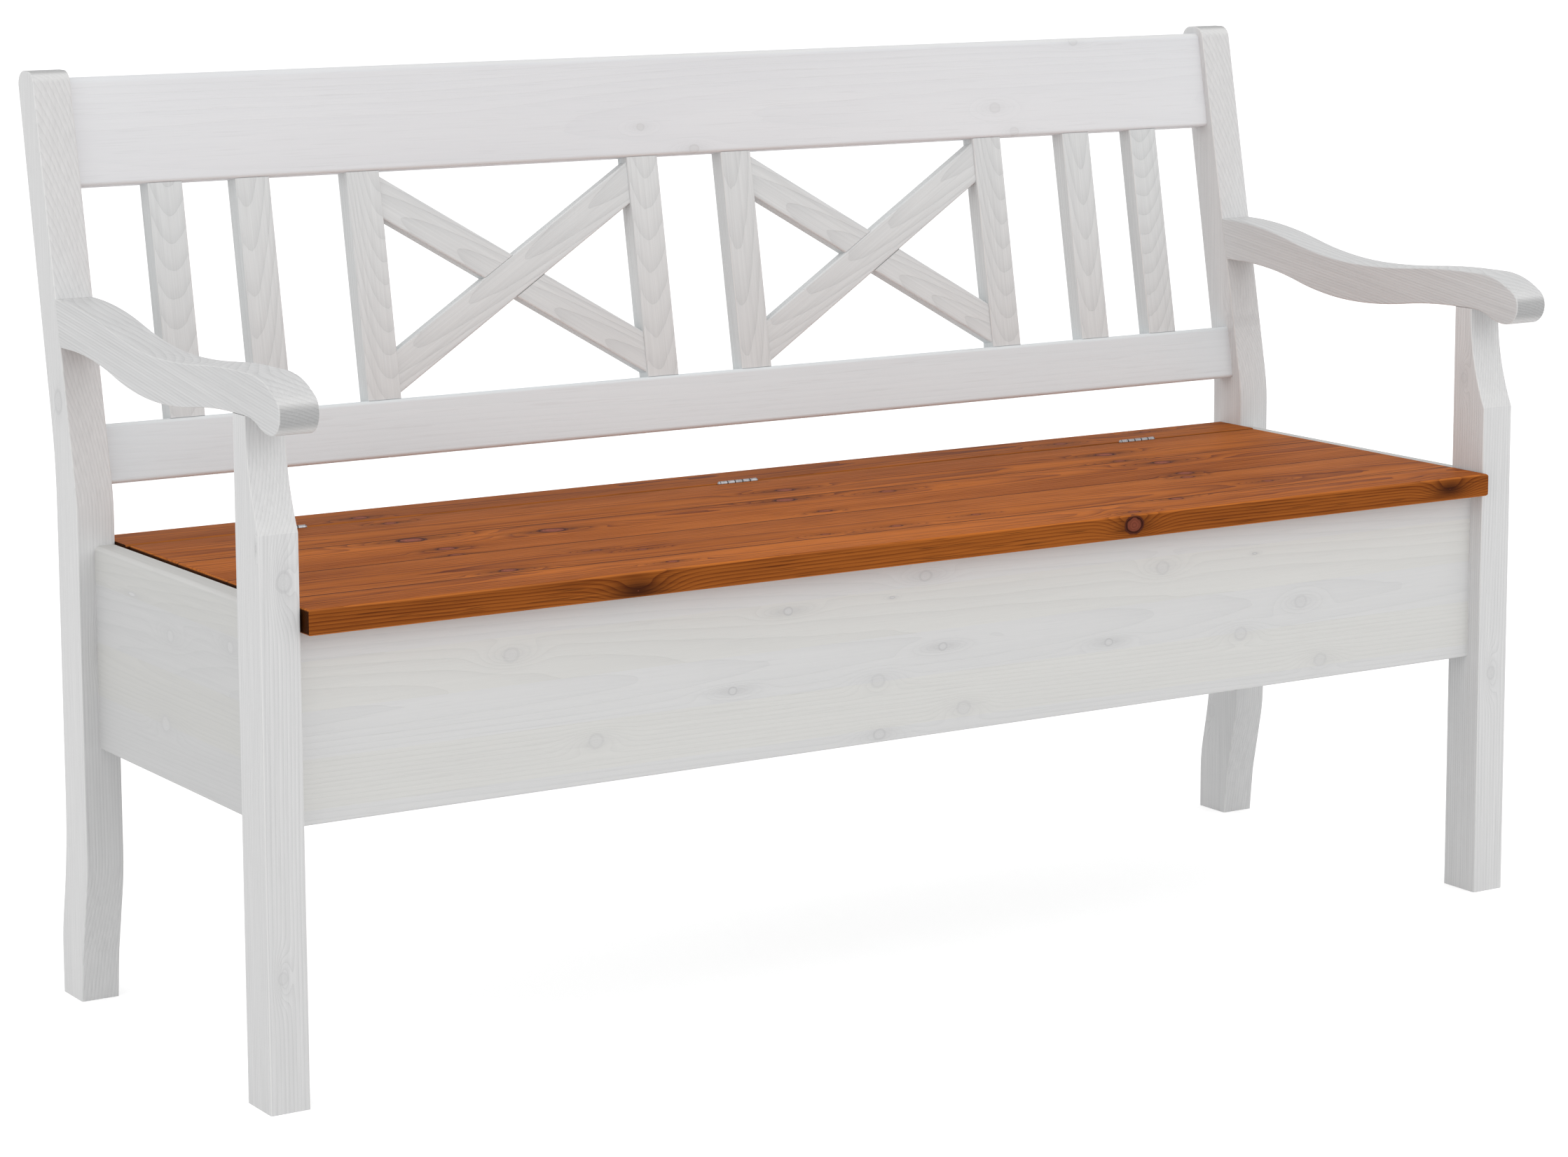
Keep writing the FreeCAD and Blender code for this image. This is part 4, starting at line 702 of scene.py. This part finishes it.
def scattered(seed: int, low: Triple, high: Triple, count: int, through: Through, tone: float = 0.5
              ) -> tuple[Knot, ...]:
    """Random small knots in a box.

    Args:
        seed: the random seed.
        low: the box's lowest corner.
        high: its highest corner.
        count: how many knots there are.
        through: which of the pattern's axes they run along.
        tone: how strongly they show, at most.

    Returns:
        The knots.
    """
    rng = np.random.default_rng(seed)
    centres = rng.uniform(low, high, (count, 3))
    radii = rng.uniform(0.003, 0.009, count)
    tones = rng.uniform(0.4, 1.0, count) * tone
    return tuple(Knot(tuple(centre), radius, through, tone=shade)
                 for centre, radius, shade in zip(centres.tolist(), radii.tolist(), tones.tolist()))


class Side(Enum):
    """An end of the bench as seen from the front, by the sign of its X."""

    LEFT = -1
    RIGHT = 1


@dataclass(frozen=True)
class EndFrame:
    """One end of the bench: its two posts, its armrest and its side panel."""

    side: Side
    white: WoodMaker = WoodMaker(WHITE_BRUSHED)
    arm: WoodMaker = WoodMaker(WHITE_ARM)
    panel: WoodMaker = WoodMaker(WHITE_SIDE)
    post_outer: float = 0.750
    panel_outer: float = 0.732
    panel_staves: tuple[float, ...] = (0.318, 0.372, 0.431)
    seed_shift: float = 1.7

    def dress(self) -> None:
        """Give the end's pieces their materials."""
        name = self.side.name.lower()
        shift = self.side.value * self.seed_shift
        dress_wood(self.white, {
            f"front_post_{name}": Timber(
                Grain.UPRIGHT, (0.060, 0.075), 0.0026, 0.006, 3.1 + shift, 0.6, self.front_post_knots()),
            f"rear_post_{name}": Timber(
                Grain.UPRIGHT, (-0.110, 0.070), 0.0027, 0.010, 6.4 + shift, 0.5, self.rear_post_knots())})
        dress_wood(self.arm, {
            f"armrest_{name}": Timber(Grain.ARM, (0.050, -0.130), 0.0030, 0.004, 9.2 + shift, 0.6)})
        dress_wood(self.panel, {
            f"side_panel_{name}": Timber(
                Grain.DEEP, (0.052, 0.010), 0.0042, 0.03, 12.8 + shift, knots=self.panel_knots(),
                staves=self.panel_staves)})

    def front_post_knots(self) -> tuple[Knot, ...]:
        """The knots of the front post."""
        if self.side is Side.RIGHT:
            return (Knot((0.728, -0.245, 0.246), 0.006, tone=0.6),
                    Knot((0.710, -0.212, 0.571), 0.005, Through.THIRD, tone=0.5))
        return (Knot((-0.7257, -0.245, 0.4968), 0.008, tone=0.8),
                Knot((-self.post_outer, -0.239, 0.529), 0.0016, Through.THIRD, 2.0),
                Knot((-self.post_outer, -0.226, 0.634), 0.0018, Through.THIRD, 2.0),
                Knot((-0.735, -0.245, 0.128), 0.005, tone=0.5))

    def rear_post_knots(self) -> tuple[Knot, ...]:
        """The knots of the rear post, one of them an oval ring on the left end."""
        if self.side is Side.RIGHT:
            return scattered(31, (0.71, 0.19, 0.1), (0.71, 0.24, 0.6), 3, Through.THIRD)
        return (Knot((-self.post_outer, 0.2146, 0.6098), 0.0095, Through.THIRD, 1.35, 0.8, 1.6),
                Knot((-0.727, 0.200, 0.365), 0.006, Through.SECOND, tone=0.4))

    def panel_knots(self) -> tuple[Knot, ...]:
        """The knots of the side panel."""
        outer = self.side.value * self.panel_outer
        if self.side is Side.RIGHT:
            return scattered(17, (outer, -0.17, 0.28), (outer, 0.16, 0.45), 4, Through.SECOND, 0.8)
        return (Knot((outer, -0.1395, 0.4197), 0.0065, tone=0.8),
                Knot((outer, -0.0026, 0.4079), 0.007, tone=0.6),
                Knot((outer, 0.0126, 0.3190), 0.009, tone=0.7),
                Knot((outer, 0.0868, 0.4341), 0.0022, stretch=4.5, tone=1.4))


@dataclass(frozen=True)
class Back:
    """The reclined back: two rails, eight slats and two crosses."""

    rail: WoodMaker = WoodMaker(WHITE_RAIL)
    low_rail: WoodMaker = WoodMaker(WHITE_LOW_RAIL)
    white: WoodMaker = WoodMaker(WHITE_BACK)
    slats: int = 8

    def dress(self) -> None:
        """Give the back's pieces their materials."""
        dress_wood(self.rail, {
            "top_rail": Timber(Grain.RAIL, (0.07, -0.02), 0.0046, 0.012, 21.0, knots=(
                Knot((-0.0587, 0.2512, 0.8501), 0.004, tone=0.5),
                Knot((0.0058, 0.2464, 0.8238), 0.005, tone=0.6),
                Knot((0.5273, 0.2645, 0.9227), 0.005, tone=0.5),
                Knot((0.4084, 0.2515, 0.8515), 0.006, tone=0.35),
                Knot((0.4323, 0.2465, 0.8241), 0.005, tone=0.35)))})
        dress_wood(self.low_rail, {"lower_rail": Timber(Grain.RAIL, (0.06, 0.05), 0.0042, 0.008, 23.0)})
        for number in range(1, self.slats + 1):
            dress_wood(self.white, {f"slat_{number}": self.slat_timber(number)})
        for number, half in enumerate(("left", "right")):
            dress_wood(self.white, {
                f"cross_brace_{half}_rising": Timber(
                    Grain.RISING, (0.040, 0.008), 0.0030, 0.035, 41.0 + number, 0.8),
                f"cross_brace_{half}_falling": Timber(
                    Grain.FALLING, (0.034, -0.010), 0.0032, 0.05, 47.0 + number, 0.8)})

    def slat_timber(self, number: int) -> Timber:
        """How a slat was cut. The remainders give each of the eight a pith and a taper of its own."""
        pith = (0.030 + 0.006 * (number * 5 % 7), 0.012 * (number % 3 - 1))
        taper = 0.05 + 0.02 * (number * 3 % 5)
        return Timber(Grain.SLAT, pith, 0.0031, taper, 25.0 + 1.3 * number, 0.7)


@dataclass(frozen=True)
class Chest:
    """The chest under the seat: its front, rear and bottom boards and the cleats."""

    panel: WoodMaker = WoodMaker(WHITE_PANEL)
    front: float = -0.226
    staves: tuple[float, ...] = (0.277, 0.325, 0.370, 0.417)
    rear: float = 0.2157

    def dress(self) -> None:
        """Give the chest's pieces their materials."""
        dress_wood(self.panel, {
            "front_panel": Timber(
                Grain.ALONG, (0.045, 0.0), 0.0046, 0.02, 61.0, knots=self.front_knots(), staves=self.staves),
            "rear_panel": Timber(Grain.ALONG, (-0.05, 0.0), 0.0044, 0.02, 66.0, knots=scattered(
                7, (-0.68, self.rear, 0.27), (0.68, self.rear, 0.44), 8, Through.SECOND, 0.8),
                staves=self.staves),
            "bottom_board": Timber(Grain.ALONG, (0.0, -0.05), 0.0044, 0.015, 69.0, knots=scattered(
                9, (-0.68, -0.18, 0.294), (0.68, 0.17, 0.294), 8, Through.THIRD, 0.8))})
        for number, name in enumerate(("front", "rear", "left", "right")):
            grain = Grain.ALONG if number < 2 else Grain.DEEP
            dress_wood(self.panel, {
                f"bottom_cleat_{name}": Timber(grain, (0.02, -0.03), 0.0032, 0.01, 71.0 + number)})

    def front_knots(self) -> tuple[Knot, ...]:
        """The knots of the front panel: small sharp ones, faint ones, and two tiny marks."""
        sharp = ((-0.2387, 0.3356), (0.2185, 0.3336), (0.0104, 0.3524), (-0.1740, 0.4082))
        faint = ((-0.4832, 0.3993), (-0.3923, 0.3051), (0.2874, 0.4051), (0.4733, 0.3497),
                 (-0.0681, 0.3261), (0.3919, 0.3234), (0.0359, 0.2863), (0.5012, 0.2835))
        dark = ((-0.0666, 0.2712), (-0.0106, 0.4267))
        marks = ((-0.051, 0.409), (0.410, 0.408))
        return tuple(Knot((x, self.front, z), radius, stretch=stretch, tone=tone, streak=streak)
                     for group, radius, stretch, tone, streak in (
                         (sharp, 0.0042, 1.3, 1.3, 4.0), (faint, 0.0072, 1.2, 0.55, 2.2),
                         (dark, 0.0055, 1.4, 1.0, 2.6), (marks, 0.0012, 2.6, 1.6, 1.5))
                     for x, z in group)


@dataclass(frozen=True)
class Seat:
    """The oiled seat: the lid's four boards and the strip behind them, from the front to the back.

    Each row of top_knots belongs to one board, and gives its knots' X, Y, radius and tone.
    """

    oiled: WoodMaker = WoodMaker(OILED_PINE)
    top: float = 0.471
    front: float = -0.257
    edge_height: float = 0.459
    boards: tuple[str, ...] = ("lid_board_front", "lid_board_mid_front", "lid_board_mid_rear",
                               "lid_board_rear", "seat_strip")
    cuts: tuple[Timber, ...] = (
        Timber(Grain.ALONG, (0.012, -0.055), 0.0026, 0.010, 81.0, tone=1.04),
        Timber(Grain.ALONG, (-0.02, -0.075), 0.0030, 0.014, 84.0, tone=0.98),
        Timber(Grain.ALONG, (0.03, -0.065), 0.0028, 0.016, 87.0, tone=1.03),
        Timber(Grain.ALONG, (-0.025, -0.070), 0.0029, 0.013, 90.0, tone=0.95),
        Timber(Grain.ALONG, (0.01, -0.060), 0.0027, 0.010, 93.0, tone=0.84))
    top_knots: tuple[tuple[tuple[float, float, float, float], ...], ...] = (
        ((-0.305, -0.225, 0.005, 0.9), (0.325, -0.200, 0.006, 0.8), (0.238, -0.242, 0.005, 0.8)),
        ((-0.460, -0.180, 0.007, 1.1), (-0.336, -0.131, 0.004, 0.9), (-0.100, -0.179, 0.004, 0.7),
         (-0.013, -0.177, 0.005, 0.8), (-0.295, -0.151, 0.004, 0.7), (0.093, -0.165, 0.004, 0.8),
         (0.423, -0.093, 0.006, 0.9), (0.479, -0.161, 0.005, 0.8)),
        ((-0.461, 0.020, 0.011, 1.0), (-0.316, -0.007, 0.011, 1.0), (-0.462, -0.078, 0.006, 0.8),
         (-0.454, -0.042, 0.008, 0.9), (-0.022, 0.020, 0.009, 1.0), (0.100, 0.008, 0.007, 0.8),
         (-0.024, -0.061, 0.006, 0.8), (0.462, 0.004, 0.009, 1.0), (0.437, -0.070, 0.008, 0.9)),
        ((-0.433, 0.121, 0.006, 0.9), (0.013, 0.075, 0.008, 0.9), (0.443, 0.084, 0.009, 1.0),
         (0.429, 0.038, 0.006, 0.8)),
        ((-0.444, 0.168, 0.007, 0.9), (0.449, 0.176, 0.006, 0.8), (0.585, 0.196, 0.005, 0.8)))

    def dress(self) -> None:
        """Give the seat's boards their materials, with a fine dark line along each glued edge
        and painted shade along both edges of the hinge gap between the lid and the strip.
        """
        *lid, strip = self.boards
        lid_seams_and_gap_shade = (*(float(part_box(board)[0][1]) for board in lid[1:]), float(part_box(lid[-1])[1][1]))
        strip_gap_shade = (float(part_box(strip)[0][1]),)
        for board, cut, places in zip(self.boards, self.cuts, self.top_knots):
            edge = self.edge_knots() if board == lid[0] else ()
            dress_wood(self.oiled, {board: replace(
                cut, knots=edge + self.on_top(*places),
                seam_lines_and_gap_shade=strip_gap_shade if board == strip else lid_seams_and_gap_shade)})

    def on_top(self, *places: tuple[float, float, float, float]) -> tuple[Knot, ...]:
        """Knots of the top, each given by its X, Y, radius and tone."""
        return tuple(Knot((x, y, self.top), radius, Through.THIRD, 1.5, tone, 3.0)
                     for x, y, radius, tone in places)

    def edge_knots(self) -> tuple[Knot, ...]:
        """The flames and the round knot of the front edge, which end a few centimetres behind it."""
        flame = Knot((-0.362, self.front, self.edge_height - 0.006), 0.0105, stretch=1.9, tone=1.5,
                     streak=1.5, reach=0.03, heart=0.05)
        return (flame, replace(flame, centre=(0.653, self.front, self.edge_height), radius=0.008),
                Knot((0.227, self.front, 0.4605), 0.0095, stretch=1.25, tone=1.1, streak=1.9, reach=0.03))


@dataclass(frozen=True)
class CrossScrew:
    """A countersunk wood screw with a cross recess and a thread, as one turned surface."""

    head_radius: float
    shank_radius: float
    length: float
    around: int = 48
    recess_radius: float = 0.00135
    recess_depth: float = 0.00085
    slot_half: float = 0.00030
    thread_pitch: float = 0.0013
    thread_depth: float = 0.0002
    point_length: float = 0.003
    face_rings: int = 16
    shank_rings: int = 60
    tip_share: float = 0.02
    tip_gap: float = 0.00001
    slot_side: float = 0.0001
    slot_end: float = 0.0004

    def profile(self) -> np.ndarray:
        """The turned outline from the middle of the head to the point: pairs of radius and depth.

        The head's face is flat, its underside narrows at 45 degrees to the shank, the shank's radius
        rises and falls once in each turn of the thread, and the last part tapers to the point.
        """
        face = np.linspace(0.0, self.head_radius, self.face_rings)
        cone = self.head_radius - self.shank_radius
        depth = np.linspace(cone, self.length - self.tip_gap, self.shank_rings)
        thread = np.abs(np.mod(depth / self.thread_pitch, 1.0) - 0.5) * 2 * self.thread_depth
        taper = np.clip((self.length - depth) / self.point_length, self.tip_share, 1.0)
        return np.concatenate((np.stack((face, np.zeros_like(face)), axis=1),
                               np.stack(((self.shank_radius - thread) * taper, depth), axis=1)))

    def surface(self) -> tuple[np.ndarray, np.ndarray]:
        """The screw with its head's middle at the origin, driven along +Y.

        The recess is as deep as it gets where a point lies within a slot's half width of one of the two
        crossing lines, and inside the recess's radius, with soft sides.

        Returns:
            The points and the four-sided faces.
        """
        outline = self.profile()
        angle = np.arange(self.around) * (2 * np.pi / self.around)
        radius = np.repeat(outline[:, 0], self.around)
        turn = np.tile(angle, len(outline))
        across, up = radius * np.cos(turn), radius * np.sin(turn)
        depth = np.repeat(outline[:, 1], self.around)
        beside = np.minimum(np.abs(across), np.abs(up))
        slot = np.clip((self.slot_half - beside) / self.slot_side + 1.0, 0.0, 1.0)
        reach = np.clip((self.recess_radius - radius) / self.slot_end, 0.0, 1.0)
        depth = np.where(depth == 0.0, slot * reach * self.recess_depth, depth)
        points = np.stack((across, depth, up), axis=1)
        ring, step = np.meshgrid(np.arange(len(outline) - 1), np.arange(self.around), indexing="ij")
        first = (ring * self.around + step).ravel()
        after = (ring * self.around + (step + 1) % self.around).ravel()
        return points, np.stack((first, first + self.around, after + self.around, after), axis=1)


@dataclass(frozen=True)
class Hinges:
    """The three hinges with their pins and screws."""

    steel: MetalMaker = MetalMaker(ZINC_STEEL)
    places: tuple[str, ...] = ("left", "centre", "right")
    screw_pitch: float = 0.016
    screw_cone: float = 0.001

    def dress(self) -> None:
        """Give the hinges' pieces their materials, and make their screws."""
        for place in self.places:
            for part in ("leaf_lid", "leaf_strip", "pin"):
                node = f"hinge_{part}_{place}"
                dress(node, self.steel.material(f"{self.steel.metal.name}_{node}", place_of(node),
                                                oily=part != "pin"))
        self.make_screws("hinge_screws_lid", "lid", -1)
        self.make_screws("hinge_screws_strip", "frame", 1)

    def make_screws(self, node: str, body: str, heading: int) -> None:
        """Make the screws of one kind of leaf, three in each hinge, where the CAD node has them.

        Args:
            node: the CAD node that they stand for.
            body: the body that they ride on.
            heading: 1 where they are driven to the back, -1 where to the front.
        """
        low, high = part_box(node)
        head = float(low[1] if heading > 0 else high[1])
        head_radius = float(high[2] - low[2]) / 2
        screw = CrossScrew(head_radius, head_radius - self.screw_cone, float(high[1] - low[1]))
        points, faces = screw.surface()
        points = points * (1.0, heading, 1.0)
        if heading < 0:
            faces = faces[:, ::-1]
        middles = [place_of(f"hinge_leaf_lid_{place}")[0] for place in self.places]
        spots = [(middle + step * self.screw_pitch, head, float(low[2] + high[2]) / 2)
                 for middle in middles for step in (-1, 0, 1)]
        every = np.concatenate([points + spot for spot in spots])
        linked = np.concatenate([faces + number * len(points) for number in range(len(spots))])
        piece = new_piece(node.replace("hinge_screws", "cross_screws"), every, linked)
        piece.data.materials.append(self.steel.material(f"zinc_{piece.name}", place_of(node)))
        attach(piece, body)
        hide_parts(node)


@dataclass(frozen=True)
class Fasteners:
    """What holds the frame together inside: the beech dowels, and the cleats' screws."""

    beech: WoodMaker = WoodMaker(RAW_BEECH)
    steel: MetalMaker = MetalMaker(ZINC_STEEL)
    dowels: tuple[tuple[str, Grain], ...] = (
        ("rail_dowels", Grain.ALONG), ("panel_dowels", Grain.ALONG), ("armrest_dowels", Grain.DEEP),
        ("brace_dowels", Grain.ALONG), ("seat_strip_dowels", Grain.UPRIGHT))

    def dress(self) -> None:
        """Give the fasteners their materials."""
        for number, (node, grain) in enumerate(self.dowels):
            dress_wood(self.beech, {node: Timber(grain, (0.004, -0.02), 0.0016, 0.0, 101.0 + number)})
        dress("cleat_screws", self.steel.material("zinc_steel_cleat_screws", place_of("cleat_screws")))


@dataclass(frozen=True)
class Studio:
    """The room, its lamps and the camera that took the photograph.

    The camera's place and angles are in the bench's frame. heading is from the back's direction
    towards the right, dip below the horizon and roll to the left. focal_pixels is the focal length in
    the photograph's pixels, and rise_share the lens's shift as a share of the photograph's width.
    """

    photo_width: int = 2238
    sensor_mm: float = 36.0
    camera_place: Triple = (-2.3027, -3.5896, 1.1798)
    heading: float = 32.28
    dip: float = 8.338
    roll: float = -0.226
    focal_pixels: float = 5886.2
    rise_share: float = -0.10
    view_reach: float = 100.0
    floor_reach: float = 30.0
    floor_glow: float = 0.35
    floor_tone: float = 0.8
    sky: float = 0.86
    key_strength: float = 91.0
    key_place: Triple = (1.2, -7.0, 3.4)
    fill_strength: float = 86.0
    fill_place: Triple = (-8.0, -1.0, 1.8)
    lamp_size: float = 5.0
    lamp_aim: Triple = (0.0, 0.0, 0.4)

    def build(self) -> None:
        """Make everything around the bench."""
        self.make_camera()
        self.make_world()
        self.make_floor()
        self.make_lamp("key_lamp", self.key_place, self.key_strength)
        self.make_lamp("fill_lamp", self.fill_place, self.fill_strength)
        bpy.context.scene.view_settings.view_transform = "Standard"

    def make_camera(self) -> None:
        """Place the camera, from its heading, dip and roll."""
        data = bpy.data.cameras.new("photo_camera")
        data.sensor_width = self.sensor_mm
        data.lens = self.focal_pixels * self.sensor_mm / self.photo_width
        data.shift_y = self.rise_share
        data.clip_end = self.view_reach
        heading, dip, roll = (math.radians(part) for part in (self.heading, self.dip, self.roll))
        ahead = Vector((math.sin(heading) * math.cos(dip), math.cos(heading) * math.cos(dip),
                        -math.sin(dip)))
        level = Vector((math.cos(heading), -math.sin(heading), 0.0))
        upright = level.cross(ahead)
        right = level * math.cos(roll) + upright * math.sin(roll)
        up = upright * math.cos(roll) - level * math.sin(roll)
        camera = bpy.data.objects.new("photo_camera", data)
        bpy.context.scene.collection.objects.link(camera)
        camera.matrix_world = Matrix.Translation(self.camera_place) @ Matrix(
            (right, up, -ahead)).transposed().to_4x4()
        bpy.context.scene.camera = camera

    def make_world(self) -> None:
        """A world that is white to look at and lights the bench evenly."""
        world = bpy.data.worlds.new("studio")
        world.use_nodes = True
        tree = world.node_tree
        tree.nodes.clear()
        skies = [new_node(tree, "Background", {"Color": WHITE, "Strength": strength})
                 for strength in (self.sky, 1.0)]
        out = new_node(tree, "OutputWorld")
        tree.links.new(self.by_ray(tree, *skies), out.inputs["Surface"])
        bpy.context.scene.world = world

    def by_ray(self, tree: Tree, other: bpy.types.Node, seen: bpy.types.Node
               ) -> Socket:
        """Choose between two shaders by where the ray comes from.

        Args:
            tree: the node tree.
            other: the shader that lights the bench.
            seen: the shader that a ray from the eye, a gloss or a glass meets.

        Returns:
            The chosen shader's socket.
        """
        path = new_node(tree, "LightPath")
        eye = Formula(tree, path.outputs["Is Camera Ray"])
        for name in ("Is Glossy Ray", "Is Transmission Ray"):
            eye = eye.math("MAXIMUM", Formula(tree, path.outputs[name]))
        chosen = new_node(tree, "MixShader")
        for socket, source in zip(chosen.inputs, (eye.socket, other.outputs[0], seen.outputs[0])):
            tree.links.new(source, socket)
        return chosen.outputs[0]

    def make_floor(self) -> None:
        """A wide floor: white with a glow of its own to the eye, and paler grey to the bench."""
        reach = self.floor_reach
        corners = [(-reach, -reach, 0.0), (reach, -reach, 0.0), (reach, reach, 0.0), (-reach, reach, 0.0)]
        mesh = bpy.data.meshes.new("floor")
        mesh.from_pydata(corners, [], [(0, 1, 2, 3)])
        floor = bpy.data.objects.new("floor", mesh)
        bpy.context.scene.collection.objects.link(floor)
        made, tree = new_material("floor_white")
        paper = new_node(tree, "BsdfDiffuse", {"Color": WHITE})
        glow = new_node(tree, "Emission", {"Strength": self.floor_glow})
        both = new_node(tree, "AddShader")
        tree.links.new(paper.outputs[0], both.inputs[0])
        tree.links.new(glow.outputs[0], both.inputs[1])
        dim = new_node(tree, "BsdfDiffuse", {"Color": (*(self.floor_tone,) * 3, 1.0)})
        out = new_node(tree, "OutputMaterial")
        tree.links.new(self.by_ray(tree, dim, both), out.inputs["Surface"])
        mesh.materials.append(made)

    def make_lamp(self, name: str, place: Triple, strength: float) -> None:
        """A large soft lamp that hangs at a place, looks at the bench and has a strength in watts."""
        data = bpy.data.lights.new(name, "AREA")
        data.shape = "DISK"
        data.size = self.lamp_size
        data.energy = strength
        lamp = bpy.data.objects.new(name, data)
        bpy.context.scene.collection.objects.link(lamp)
        aim = Vector(self.lamp_aim) - Vector(place)
        lamp.matrix_world = Matrix.Translation(place) @ aim.to_track_quat("-Z", "Y").to_matrix().to_4x4()


def main() -> None:
    """Dress every piece, then make the room, the lights and the camera."""
    logging.basicConfig(level=logging.INFO, format="%(message)s")
    for assembly in (EndFrame(Side.LEFT), EndFrame(Side.RIGHT), Back(), Chest(), Seat(), Hinges(),
                     Fasteners()):
        LOG.info("dressing %s", type(assembly).__name__)
        assembly.dress()
    Studio().build()


if __name__ == "__main__":
    main()
